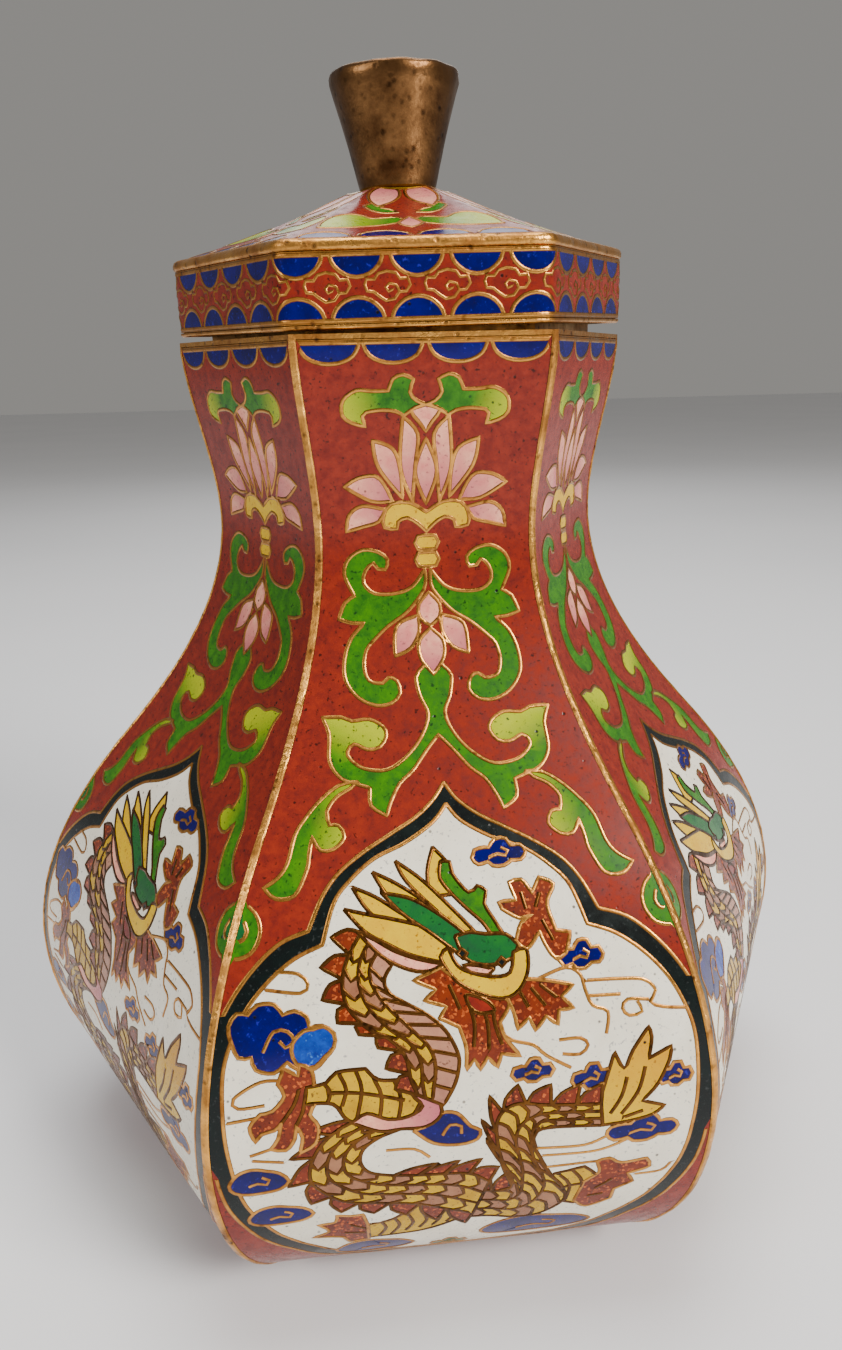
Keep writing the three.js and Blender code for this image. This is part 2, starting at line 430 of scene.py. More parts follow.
night = (12, 12, 16)
GLASSES = {
    "red": enamel("brick_red", (130, 38, 22), (98, 24, 18), (56, 16, 12), (40, 14, 10), cloud_scale=800),
    "blue": enamel("cobalt_blue", (8, 0, 92), (4, 0, 62), (30, 26, 130), night, rough=0.12),
    "green": enamel(
        "leaf_green", (54, 116, 8), (26, 82, 10), (16, 54, 12), night, (160, 170, 0), cloud_scale=700
    ),
    "deep_green": enamel("deep_green", (26, 96, 36), (16, 72, 38), (12, 50, 26), night),
    "pink": enamel(
        "petal_pink", (238, 170, 140), (216, 126, 112), (150, 84, 84), night, (176, 92, 100), cloud_scale=700
    ),
    "yellow": enamel("yolk_yellow", (210, 172, 0), (200, 154, 0), (150, 100, 0), night, (190, 134, 0)),
    "gold": enamel("scale_yellow", (196, 156, 0), (170, 128, 0), (104, 70, 14), night),
    "mauve": enamel("scale_mauve", (152, 104, 74), (124, 78, 56), (88, 54, 40), night),
    "belly": enamel("belly_pink", (176, 126, 98), (148, 98, 80), (108, 70, 56), night, (156, 108, 78)),
    "white": enamel(
        "ivory_white", (232, 226, 208), (220, 212, 192), (168, 164, 156), (112, 106, 96), cloud_scale=160
    ),
    "black": enamel("black", (12, 14, 14), (6, 18, 16), (40, 44, 44), (60, 60, 56)),
    "brown": enamel(
        "spangled_brown", (116, 42, 16), (82, 26, 12), (54, 20, 10), night, sparkle=(178, 84, 34)
    ),
    "sky": enamel("sky_blue", (20, 66, 160), (8, 30, 120), (60, 120, 190), night, cloud_scale=900),
    "gilt": metal("gilt_wire", (212, 150, 70), (160, 104, 46), (90, 54, 26), bump=0.35, edge=(66, 36, 14)),
    "dark": metal("dark_wire", (112, 72, 32), (76, 46, 20), (40, 24, 10), bump=0.35, edge=(30, 18, 8)),
}
GLASS_NAMES = list(GLASSES)
GREEN = GLASS_NAMES.index("green")
GILT = GLASS_NAMES.index("gilt")
DARK = GLASS_NAMES.index("dark")


def smooth_run(points, closed):
    """Spots along a smooth line through given points. A point with a third number is a sharp corner."""
    spots = [np.array(point[:2], float) for point in points]
    sharp = [len(point) > 2 for point in points]
    count = len(points)
    made = []
    for i in range(count if closed else count - 1):
        j = (i + 1) % count
        first, last = spots[i], spots[j]
        before = first if sharp[i] or (not closed and i == 0) else spots[i - 1]
        after = last if sharp[j] or (not closed and j == count - 1) else spots[(j + 1) % count]
        steps = max(1, round(float(np.hypot(*(last - first))) / draw_step))
        for step in range(steps):
            t = step / steps
            curve = 2 * first + (last - before) * t + (2 * before - 5 * first + 4 * last - after) * t * t
            made.append((curve + (3 * first - before - 3 * last + after) * t**3) / 2)
    if not closed:
        made.append(spots[-1])
    return np.array(made)


def is_inside(outline, spots):
    """Which spots lie inside a closed outline."""
    x, y = spots[:, 0], spots[:, 1]
    inside = np.zeros(len(spots), bool)
    for (ax, ay), (bx, by) in zip(outline, np.roll(outline, -1, axis=0)):
        if ay != by:
            inside ^= ((ay > y) != (by > y)) & (x < (bx - ax) * (y - ay) / (by - ay) + ax)
    return inside


def new_drawing():
    """An empty drawing: its wires, and its cells of glass in the order they are laid."""
    return {"wires": [], "cells": []}


def seen_runs(line, is_seen):
    """The stretches of a line that are seen, each carried on to where the line goes out of sight."""
    shown = is_seen(line)
    runs = [[]]
    for i, spot in enumerate(line):
        if i and shown[i] != shown[i - 1]:
            seen, gone = (spot, line[i - 1]) if shown[i] else (line[i - 1], spot)
            for _ in range(halvings):
                middle = (seen + gone) / 2
                if is_seen(middle[None])[0]:
                    seen = middle
                else:
                    gone = middle
            runs[-1].append(seen)
        if shown[i]:
            runs[-1].append(spot)
        elif runs[-1]:
            runs.append([])
    return [np.array(run) for run in runs if len(run) > 1]


def cut_wires(drawing, outline):
    """Takes away what a new cell covers of the wires already laid."""
    low, high = outline.min(0), outline.max(0)
    kept = []
    for line, half in drawing["wires"]:
        if (line.max(0) < low).any() or (line.min(0) > high).any():
            kept.append((line, half))
        else:
            kept += [(run, half) for run in seen_runs(line, lambda spots: ~is_inside(outline, spots))]
    drawing["wires"] = kept


def lay_wire(drawing, points, half=wire_half):
    """A wire on its own, bent through the points."""
    drawing["wires"].append((smooth_run(points, False), half))


def lay_wires(drawing, lines, half):
    """Several wires of one width."""
    for points in lines:
        lay_wire(drawing, points, half)


def lay_outline(drawing, glass, outline, fade=None, half=wire_half):
    """A cell of glass inside its own wire, from an outline that is already smooth."""
    cut_wires(drawing, outline)
    drawing["cells"].append((glass, outline, fade))
    if half:
        drawing["wires"].append((np.vstack([outline, outline[:1]]), half))


def lay_cell(drawing, glass, points, fade=None, half=wire_half):
    """A cell from given points. A fade names two spots, from the first shade to the second."""
    lay_outline(drawing, glass, smooth_run(points, True), fade, half)


def lay_ground(drawing, glass, left, near, right, far):
    """A four-sided field between two places across and two along, without a wire of its own."""
    lay_cell(drawing, glass, [(left, near, 1), (right, near, 1), (right, far, 1), (left, far, 1)], half=0)


def mirrored(points):
    """The same points on the other side of the middle line."""
    return [(-point[0],) + tuple(point[1:]) for point in points]


def lay_pair(drawing, glass, points, fade=None):
    """The same cell on both sides of the middle line."""
    lay_cell(drawing, glass, points, fade)
    lay_cell(drawing, glass, mirrored(points), None if fade is None else mirrored(fade))


def edge_wires(drawing, keep_inside):
    """Every wire as its two edges and its middle line: spots, the lines between them, and fine marks."""
    spots, edges, fine = [], [], []
    for line, half in drawing["wires"]:
        for part in seen_runs(line, keep_inside):
            loop = np.hypot(*(part[0] - part[-1])) < same_spot and len(part) > 3
            ahead = np.roll(part[:-1], -1, axis=0) if loop else np.vstack([part[1:], part[-1:]])
            behind = np.roll(part[:-1], 1, axis=0) if loop else np.vstack([part[:1], part[:-1]])
            part = part[:-1] if loop else part
            along = ahead - behind
            along /= np.maximum(least_length, np.hypot(along[:, 0], along[:, 1]))[:, None]
            side = np.stack([-along[:, 1], along[:, 0]], axis=-1) * half
            for row in (part - side, part, part + side):
                first = len(spots)
                spots += [tuple(spot) for spot in row]
                edges += [(first + i, first + i + 1) for i in range(len(row) - 1)]
                if loop:
                    edges.append((first + len(row) - 1, first))
            closed = np.vstack([part, part[:1]]) if loop else part
            for a, b in zip(closed[:-1], closed[1:]):
                steps = max(1, int(np.hypot(*(b - a)) / wire_step))
                fine += [(*(a + (b - a) * step / steps), half) for step in range(steps + 1)]
    return spots, edges, fine


def paint_cells(drawing, centres, corners):
    """The glass of every triangle and how far each of its corners has faded."""
    glass = np.zeros(len(centres), int)
    fades = np.zeros((len(centres), 3))
    for name, outline, fade in drawing["cells"]:
        near = (centres >= outline.min(0)).all(1) & (centres <= outline.max(0)).all(1)
        chosen = np.nonzero(near)[0]
        chosen = chosen[is_inside(outline, centres[chosen])]
        if name == "shading":
            chosen = chosen[glass[chosen] == GREEN]
        else:
            glass[chosen] = GLASS_NAMES.index(name)
        fades[chosen] = 0
        if fade is not None:
            start, end = (np.array(spot[:2], float) for spot in fade)
            grade = (end - start) / np.dot(end - start, end - start)
            fades[chosen] = np.clip((corners[chosen] - start) @ grade, 0, 1)
    return glass, fades


def triangulate(drawing, rim, keep_inside):
    """Cuts a drawing into triangles that follow its wires: spots, lifts, tilts, triangles and glass."""
    wire_spots, wire_edges, fine = edge_wires(drawing, keep_inside)
    count = len(rim)
    spots = [tuple(spot) for spot in rim] + wire_spots
    edges = [(i, (i + 1) % count) for i in range(count)]
    edges += [(a + count, b + count) for a, b in wire_edges]
    tree = kdtree.KDTree(len(fine) + 1)
    for i, (x, y, _) in enumerate(fine):
        tree.insert((x, y, 0), i)
    tree.insert((far_off, far_off, 0), len(fine))
    tree.balance()
    fine.append((far_off, far_off, wire_half))
    low, high = rim.min(0), rim.max(0)
    for row, y in enumerate(np.arange(low[1] + grid_step / 2, high[1], grid_step)):
        for x in np.arange(low[0] + grid_step * (0.25 + 0.5 * (row % 2)), high[0], grid_step):
            clear = tree.find((x, y, 0))[2] > grid_step * grid_clearance
            if clear and keep_inside(np.array([[x, y]]))[0]:
                spots.append((x, y))
    flat, _, triangles, origins, _, _ = geometry.delaunay_2d_cdt(
        [Vector(spot) for spot in spots], edges, [], 0, 1e-5, True
    )
    flat = np.array([tuple(v) for v in flat])
    triangles = np.array(triangles)
    arms = flat[triangles][:, 1:] - flat[triangles][:, :1]
    area = arms[:, 0, 0] * arms[:, 1, 1] - arms[:, 0, 1] * arms[:, 1, 0]
    triangles = triangles[is_inside(rim, flat[triangles].mean(1)) & (np.abs(area) > least_area)]
    centres = flat[triangles].mean(1)
    found = [tree.find((x, y, 0)) for x, y in flat]
    reach = np.array([fine[i][2] for _, i, _ in found])
    share = np.minimum(1.0, np.array([distance for _, _, distance in found]) / reach)
    away = flat - np.array([tuple(nearest)[:2] for nearest, _, _ in found])
    away /= np.maximum(least_length, np.hypot(away[:, 0], away[:, 1]))[:, None]
    glass, fades = paint_cells(drawing, centres, flat[triangles])
    middles = [tree.find((x, y, 0)) for x, y in centres]
    halves = np.array([fine[i][2] for _, i, _ in middles])
    on_wire = np.array([distance for _, _, distance in middles]) < halves * wire_foot
    glass[on_wire] = np.where(halves == dark_half, DARK, GILT)[on_wire]
    fades[on_wire] = share[triangles[on_wire]]
    tilt = np.zeros((len(triangles), 3, 2))
    tilt[on_wire] = (away * (wire_roundness * (share > 0.5))[:, None])[triangles[on_wire]]
    rim_at = {}
    for index, sources in enumerate(origins):
        for source in sources:
            if source < count:
                rim_at[source] = index
    corners = flat[triangles]
    flip = np.cross(corners[:, 1] - corners[:, 0], corners[:, 2] - corners[:, 0]) < 0
    for rows in (triangles, tilt, fades):
        rows[flip] = rows[flip][:, ::-1]
    return {
        "spots": flat,
        "lifts": wire_rise * (1 - share**2),
        "triangles": triangles,
        "glass": glass,
        "fades": fades,
        "tilt": tilt,
        "rim": [rim_at[i] for i in range(count)],
    }


def enamel_piece(name, cut, place, under_spots, under_faces, turned=False, fold=None):
    """A closed thin enamel piece from a cut drawing. place gives points and three directions for spots
    and lifts. A fold is the length after which a long drawing starts a new row on its own flat map."""
    spots, rim = cut["spots"], cut["rim"]
    top, across, along, out = place(spots, cut["lifts"])
    hidden = np.vstack([spots[rim], under_spots]) if len(under_spots) else spots[rim]
    below, _, _, under_out = place(hidden, np.full(len(hidden), -panel_thickness))
    points = np.vstack([top, below])
    count = len(rim)
    first = len(top)
    triangles, tilt, fades = (
        cut[part][:, ::-1] if turned else cut[part] for part in ("triangles", "tilt", "fades")
    )
    normals = out[triangles] + across[triangles] * tilt[:, :, :1] + along[triangles] * tilt[:, :, 1:]
    normals = list((normals / np.linalg.norm(normals, axis=2)[:, :, None]).reshape(-1, 3))
    start = spots.min(0) - map_border
    wide, tall = np.ptp(spots, axis=0) + 2 * map_border
    row_length = fold if fold else wide
    rows = math.ceil(wide / row_length)
    size = max(row_length * map_spread + map_room, (tall + map_row_gap) * rows)

    def flat_map(corners, hidden_face=False):
        row = math.floor(float(np.mean(corners, axis=0)[0] - start[0]) / row_length)
        scale = hidden_scale if hidden_face else 1.0
        laid = (corners - start - np.array([row * row_length, 0])) * scale
        aside = row_length + map_gap if hidden_face else map_left
        shift = np.array([aside, row * (tall + map_row_gap)])
        return (laid + shift) / size

    faces = [tuple(int(i) for i in triangle) for triangle in triangles]
    uvs = [flat_map(spots[triangle]) for triangle in triangles]
    shades = [fades.ravel()]
    edge_out = np.cross(top[np.roll(rim, -1)] - top[rim], out[rim])
    edge_out /= np.linalg.norm(edge_out, axis=1)[:, None]
    centre = spots[rim].mean(0)
    for i in range(count):
        j = (i + 1) % count
        faces.append((rim[i], first + i, first + j, rim[j]))
        near, far = spots[rim[i]], spots[rim[j]]
        push = np.array([far[1] - near[1], near[0] - far[0]])
        push = push / max(least_length, np.hypot(*push)) * map_edge
        push = push if push @ (near - centre) > 0 or fold else -push
        uvs.append(flat_map(np.array([near, near + push, far + push, far])))
        normals += [edge_out[i]] * 4
        shades.append(np.zeros(4))
    for face in under_faces:
        face = face[::-1]
        faces.append(tuple(first + i for i in face))
        uvs.append(flat_map(hidden[list(face)], True))
        normals += [-under_out[i] for i in face]
        shades.append(np.zeros(len(face)))
    choices = list(cut["glass"]) + [GILT] * (count + len(under_faces))
    piece = make_mesh(name, points, faces, list(GLASSES.values()), choices)
    mesh = piece.data
    mesh.attributes.new("shade", "FLOAT", "CORNER").data.foreach_set("value", np.concatenate(shades))
    mesh.uv_layers.new(name="OFBake").data.foreach_set("uv", np.vstack(uvs).ravel())
    mesh.normals_split_custom_set([tuple(normal) for normal in normals])
    return piece


def half_width(down):
    """Half the width of the enamel at a distance down the side."""
    return np.interp(down, downs, apothems) / FLAT / 2 - panel_gap


def inside_side(spots):
    """Which spots are far enough inside the panel's edge to carry a wire."""
    wide = np.abs(spots[:, 0]) < half_width(spots[:, 1]) - side_margin
    return wide & (spots[:, 1] > panel_top + end_margin) & (spots[:, 1] < panel_bottom - end_margin)


# The ornament of each side: a row of hanging blue discs under the mouth, then a lotus with leaves,
# scrolls and tendrils on brick red, down to the black-edged frame of the picture. It is drawn in mm
# across the side's middle line and down from the mouth, as every spot of the side's drawing is.
side_drawing = new_drawing()
ground_reach = 40
disc_centres = (-10.05, -3.4, 3.4, 10.05)
disc_reach = 3.1
disc_curve = ((3.05, 1.2), (2.5, 2.2), (1.4, 2.8), (0, 3.0), (-1.4, 2.8), (-2.5, 2.2), (-3.05, 1.2))
edge_wire = panel_top + 0.32
gilt_edge = panel_top + 0.1


def lay_mouth_row(drawing):
    """The red ground, and the discs that hang from a gilt line along its top."""
    lay_ground(drawing, "red", -ground_reach, -5, ground_reach, 130)
    for centre in disc_centres:
        disc = [(centre - disc_reach, 0.2, 1), (centre + disc_reach, 0.2, 1)]
        lay_cell(drawing, "blue", disc + [(centre + x, y) for x, y in disc_curve])
    lay_wire(drawing, [(-half_width(edge_wire), edge_wire), (half_width(edge_wire), edge_wire)])
    lay_ground(drawing, "gilt", -ground_reach, 0, ground_reach, gilt_edge)


def lay_lotus(drawing):
    """The lotus between two leaves, its yellow cup and its beads."""
    leaf = [
        (0.0, 7.3, 1), (1.0, 6.9), (1.7, 6.0), (1.3, 4.7, 1), (2.4, 4.2), (3.5, 4.6), (4.0, 5.8, 1),
        (5.8, 5.8), (7.4, 5.7), (8.8, 6.7), (8.9, 8.3), (7.9, 9.1), (6.5, 9.5, 1), (6.8, 8.4), (6.4, 8.0),
        (4.7, 7.8), (3.2, 8.0), (2.4, 8.5, 1), (1.6, 7.9),
    ]
    lay_pair(drawing, "green", leaf, [(5.0, 6.5), (8.6, 7.6)])
    lay_cell(drawing, "pink", [(0, 7.3, 1), (1.5, 7.9), (0.7, 9.1), (0, 10.2, 1), (-0.8, 9.1), (-1.6, 7.9)])
    petals = (
        ((8.5, 20.5), (4.5, 18.7), [(8.95, 21.0, 1), (8.6, 19.2), (7.1, 18.2), (4.6, 18.7, 1), (5.3, 20.0),
                                    (7.0, 20.5)]),
        ((8.8, 16.0), (4.0, 17.6), [(9.0, 16.0, 1), (7.5, 15.1), (5.6, 14.9), (4.6, 15.9), (3.7, 17.8, 1),
                                    (6.1, 17.7)]),
        ((5.2, 12.0), (2.8, 17.0), [(5.8, 11.0, 1), (5.2, 14.0), (2.6, 17.5, 1), (2.8, 14.4), (3.6, 12.0)]),
        ((2.2, 10.0), (1.4, 17.0), [(2.5, 8.5, 1), (2.8, 14.0), (1.5, 17.9, 1), (1.15, 13.7), (0.9, 10.4)]),
    )
    for tip, root, points in petals:
        lay_pair(drawing, "pink", points, (tip, root))
    lay_cell(drawing, "pink", [(0, 10.9, 1), (1.2, 14.5), (0, 18.2, 1), (-1.2, 14.5)], [(0, 12), (0, 17.8)])
    cup = [
        (1.9, 18.0), (3.9, 18.1), (4.75, 19.3), (4.7, 20.7), (3.3, 20.9, 1), (3.15, 20.1), (2.1, 19.7),
        (0.9, 20.4),
    ]
    lay_cell(drawing, "yellow", [(0, 19.1, 1)] + cup + [(0, 21.3, 1)] + mirrored(cup)[::-1])
    for top in (21.8, 23.7):
        bead = [(-1.0, 0), (1.0, 0), (1.35, 0.7), (1.0, 1.45), (-1.0, 1.45), (-1.35, 0.7)]
        lay_cell(drawing, "yellow", [(x, top + y) for x, y in bead])


def lay_stem(drawing):
    """The scrolls and the bud under the lotus, the forked stem, and the tendrils beside the frame."""
    curl = [
        (1.2, 36.6, 1), (2.0, 37.7), (1.7, 39.9), (0.95, 42.0), (1.9, 44.5), (3.8, 46.7), (6.0, 48.0),
        (8.5, 47.7), (9.9, 46.6), (10.2, 45.7), (9.4, 44.9), (8.0, 45.6), (6.6, 45.4), (5.8, 44.2),
        (6.1, 43.1), (7.6, 42.2), (9.5, 42.3), (10.6, 41.8), (12.75, 41.7, 1), (12.1, 43.6), (12.2, 46.7),
        (11.0, 48.7), (9.1, 49.5), (8.0, 49.9, 1), (8.0, 51.9), (6.4, 53.1, 1), (5.8, 51.5), (4.7, 49.6),
        (3.2, 48.3), (1.4, 46.0), (0, 44.4, 1),
    ]
    stem = curl + mirrored(curl)[::-1][1:] + [(0, 35.6)]
    lay_cell(drawing, "green", stem)
    eye = [
        (5.2, 41.2, 1), (13.2, 41.2, 1), (13.2, 46.6, 1), (10.0, 46.8, 1), (9.9, 46.0, 1), (5.2, 46.0, 1),
    ]
    for spots in (eye, mirrored(eye)):
        way = math.copysign(1, spots[0][0])
        fade = ((way * 11.2, 46.6), (way * 9.0, 43.2))
        drawing["cells"].append(("shading", smooth_run(spots, True), fade))
    scroll = [
        (0.3, 25.5, 1), (1.8, 27.4), (3.7, 28.1), (6.1, 28.0), (7.3, 26.8), (7.0, 25.4), (6.1, 24.6),
        (5.6, 25.3), (4.8, 25.4), (4.5, 24.3), (5.5, 23.4), (7.3, 23.1), (8.9, 24.1), (9.4, 25.8),
        (8.4, 28.2, 1), (9.5, 28.9), (10.3, 30.7, 1), (8.9, 31.2), (7.45, 31.3, 1), (9.0, 32.9),
        (9.9, 35.3), (9.9, 37.7), (8.6, 39.7), (6.7, 40.7), (4.9, 40.5), (3.9, 39.4), (4.2, 38.0),
        (5.1, 37.6), (5.8, 38.2), (7.3, 37.8), (7.75, 36.2), (7.4, 34.4), (6.6, 33.4), (4.7, 31.7),
        (2.6, 30.3), (0.9, 28.4), (0.3, 27.2),
    ]
    lay_pair(drawing, "green", scroll)
    bud_leaf = [(1.35, 30.7, 1), (3.8, 31.8), (4.2, 35.2, 1), (2.4, 34.4), (1.3, 32.5)]
    lay_pair(drawing, "pink", bud_leaf, [(1.5, 31), (4.2, 35)])
    bud_foot = [(0, 28.1, 1), (1.2, 29.5), (1.1, 31.0), (0, 31.9, 1), (-1.1, 31.0), (-1.2, 29.5)]
    lay_cell(drawing, "pink", bud_foot)
    bud = [(0, 32.2, 1), (1.35, 33.6), (1.3, 35.6), (0, 37.5, 1), (-1.3, 35.6), (-1.35, 33.6)]
    lay_cell(drawing, "pink", bud, [(0, 33), (0, 37)])
    tendril = [
        (9.4, 49.1, 1), (11.3, 49.4), (13.2, 50.7), (15.0, 52.6), (16.3, 54.5), (17.2, 57.4),
        (18.3, 58.9), (19.8, 59.8, 1), (18.6, 61.0), (16.6, 60.8), (15.2, 58.2), (14.9, 56.6),
        (14.5, 54.8, 1), (13.7, 56.3), (12.3, 56.3), (11.1, 55.1), (11.6, 53.8), (12.6, 53.7, 1),
        (12.8, 52.2), (11.7, 50.7), (10.1, 49.8),
    ]
    lay_pair(drawing, "green", tendril, [(14.6, 54.0), (10.6, 55.2)])
    ring = [
        (20.8, 62.2), (22.6, 61.0), (24.6, 62.2), (25.0, 64.4), (23.6, 66.6), (21.4, 66.3), (20.3, 64.3),
    ]
    for outline in (ring, mirrored(ring)):
        lay_cell(drawing, "green", outline)
        middle = np.mean(outline, axis=0)
        inner = [tuple(middle + (np.array(spot) - middle) * 0.42) for spot in outline]
        lay_cell(drawing, "deep_green", inner)


# The frame of the picture: a black border between two gilt wires, pointed at the top, with a white
# ground inside. Each of its lines is drawn as a right half and mirrored.
frame_outer = [
    (0.1, 49.8, 1), (1.3, 51.7), (3.4, 53.5), (6.0, 55.0), (9.3, 56.9), (12.0, 58.9), (13.8, 61.2),
    (15.4, 64.5, 1), (18.3, 65.5), (21.0, 67.7), (23.4, 70.6), (25.2, 73.9), (26.2, 77.4), (26.6, 84.0),
    (26.4, 88.0), (25.7, 93.0), (24.5, 96.5), (22.0, 101.0), (18.6, 104.8), (15.8, 107.8), (12.0, 110.0),
    (6.0, 111.4),
]
frame_inner = [
    (0.1, 52.2, 1), (1.5, 54.1), (4.6, 56.1), (8.1, 57.6), (10.8, 59.7), (12.6, 61.9), (14.0, 66.0, 1),
    (17.0, 67.2), (19.9, 69.4), (22.3, 72.2), (24.0, 75.6), (24.8, 78.8), (25.0, 84.0), (24.7, 88.0),
    (24.0, 92.4), (22.7, 96.0), (20.3, 100.1), (17.3, 103.4), (14.4, 106.2), (11.2, 108.2), (5.8, 109.6),
]


lay_mouth_row(side_drawing)
lay_lotus(side_drawing)
lay_stem(side_drawing)
for glass, right, lowest in (("black", frame_outer, 111.9), ("white", frame_inner, 110.0)):
    lay_cell(side_drawing, glass, right + [(0.0, lowest)] + mirrored(right)[::-1][:-1])


# The picture in the frame: a scaly dragon coiling among blue clouds, in the common manner of such
# boxes. It has a yellow mane and flame, yellow and mauve scales with pink belly plates, and a
# spangled brown beard, fins and claws. Its own wires were left dark instead of being gilded.
sky_wire = 0.2
fin_height = 2.4
neck_fin_height = 2.6
fin_root = 0.3
fin_lean = 1.05
fin_swell_along = 0.34
fin_swell_up = 0.56
scale_bulge = 0.45
fine_steps = 4


def evenly(points, count):
    """A smooth line through the points, as evenly spread spots."""
    line = smooth_run(points, False)
    run = np.concatenate([[0], np.cumsum(np.hypot(*np.diff(line, axis=0).T))])
    marks = np.linspace(0, run[-1], count)
    return np.stack([np.interp(marks, run, line[:, 0]), np.interp(marks, run, line[:, 1])], axis=-1)


def lay_dark(drawing, glass, points, fade=None):
    """A cell of the dragon, inside a dark wire."""
    lay_cell(drawing, glass, points, fade, dark_half)


def lay_fins(drawing, edge, inside, count, height=fin_height):
    """Pointed brown fins along the back, leaning towards the tail."""
    roots, within = evenly(edge, count + 1), evenly(inside, count + 1)
    for i in range(count):
        start, end = roots[i], roots[i + 1]
        along = end - start
        outward = (roots[i] + roots[i + 1] - within[i] - within[i + 1]) / 2
        outward = outward / np.hypot(*outward)
        tip = start + along * fin_lean + outward * height
        swell = start + along * fin_swell_along + outward * height * fin_swell_up
        foot = outward * fin_root
        lay_dark(drawing, "brown", [(*(start - foot), 1), tuple(swell), (*tip, 1), (*(end - foot), 1)])


def lay_scaly(drawing, edge, inside, rows, fins, lanes, scaled=1.0, height=fin_height):
    """A stretch of the body: fins, lanes of scales with two in five mauve, and a belly in any width left."""
    lay_fins(drawing, edge, inside, fins, height)
    last = rows * fine_steps
    back, front = evenly(edge, last + 1), evenly(inside, last + 1)
    seam = back + (front - back) * scaled
    lay_outline(drawing, "gold", np.vstack([back, seam[::-1]]), half=dark_half)

    def spot_at(station, share):
        place = min(max(station * fine_steps, 0), last)
        low = int(min(place, last - 1))
        line = back + (seam - back) * share
        return line[low] + (line[low + 1] - line[low]) * (place - low)

    for lane in range(lanes):
        near, far = lane / lanes, (lane + 1) / lanes
        middle = (near + far) / 2
        for row in range(1, rows + 1):
            station = row - 0.5 * (lane % 2)
            arc, before = (
                [spot_at(end, near), spot_at(end + scale_bulge, middle), spot_at(end, far)]
                for end in (station, station - 1)
            )
            if (row * 2 + lane * 3) % 5 < 2:
                drawing["cells"].append(("mauve", np.array(arc + before[::-1]), None))
            if row < rows:
                lay_wire(drawing, arc, dark_half)
        if lane:
            lay_wire(drawing, [spot_at(step / 2, near) for step in range(rows * 2 + 1)], dark_half)
    if scaled < 1:
        lay_outline(drawing, "belly", np.vstack([seam, front[::-1]]), half=dark_half)
        lay_wires(drawing, [[seam[i], front[i]] for i in range(fine_steps, last, fine_steps)], dark_half)


# The clouds behind the dragon: blue cells, lobed up in the sky and long and round low down, each
# with a curl of wire. A row gives a cloud's left and right end, its middle's place down and its height.
lobed_cloud = [
    (-1.0, 0.25), (-0.88, -0.3), (-0.5, -0.45), (-0.34, -0.42, 1), (-0.1, -0.98), (0.32, -0.98),
    (0.48, -0.45, 1), (0.82, -0.48), (1.0, 0.05), (0.8, 0.6), (0.45, 0.6, 1), (0.15, 0.95), (-0.25, 0.92),
    (-0.42, 0.6, 1), (-0.78, 0.75),
]
long_cloud = [
    (-1.0, 0.1), (-0.7, -0.7), (-0.2, -1.0), (0.3, -0.8), (0.7, -0.55), (1.0, 0.1), (0.7, 0.7),
    (0.2, 0.9), (-0.4, 0.95), (-0.85, 0.7),
]
cloud_curl = [(-0.35, 0.3), (-0.05, 0.1), (0.25, 0.25), (0.35, -0.1), (0.1, -0.35)]
clouds = (
    ("blue", lobed_cloud, 2.3, 8.2, 57.9, 3.0),
    ("blue", lobed_cloud, 10.6, 15.4, 69.1, 3.0),
    ("blue", lobed_cloud, 4.8, 9.4, 80.7, 2.6),
    ("blue", lobed_cloud, 11.2, 15.6, 82.0, 3.0),
    ("blue", lobed_cloud, 20.6, 24.4, 82.6, 2.8),
    ("blue", lobed_cloud, 15.1, 23.0, 88.9, 3.5),
    ("blue", long_cloud, -25.0, -18.8, 90.9, 3.5),
    ("blue", long_cloud, -23.4, -16.5, 96.4, 3.3),
    ("blue", long_cloud, -14.4, -5.6, 106.3, 4.4),
    ("blue", long_cloud, 2.0, 14.6, 104.6, 5.2),
    ("deep_green", lobed_cloud, -3.6, 0.6, 108.2, 3.0),
)


def lay_cloud(drawing, glass, shape, left, right, down, height):
    """A cloud stretched between its left and right ends, with its curl."""
    across, reach = (left + right) / 2, (right - left) / 2
    outline = [(across + x * reach, down + y * height / 2, *sharp) for x, y, *sharp in shape]
    lay_cell(drawing, glass, outline)
    lay_wire(drawing, [(across + x * reach, down + y * height / 2) for x, y in cloud_curl], sky_wire)


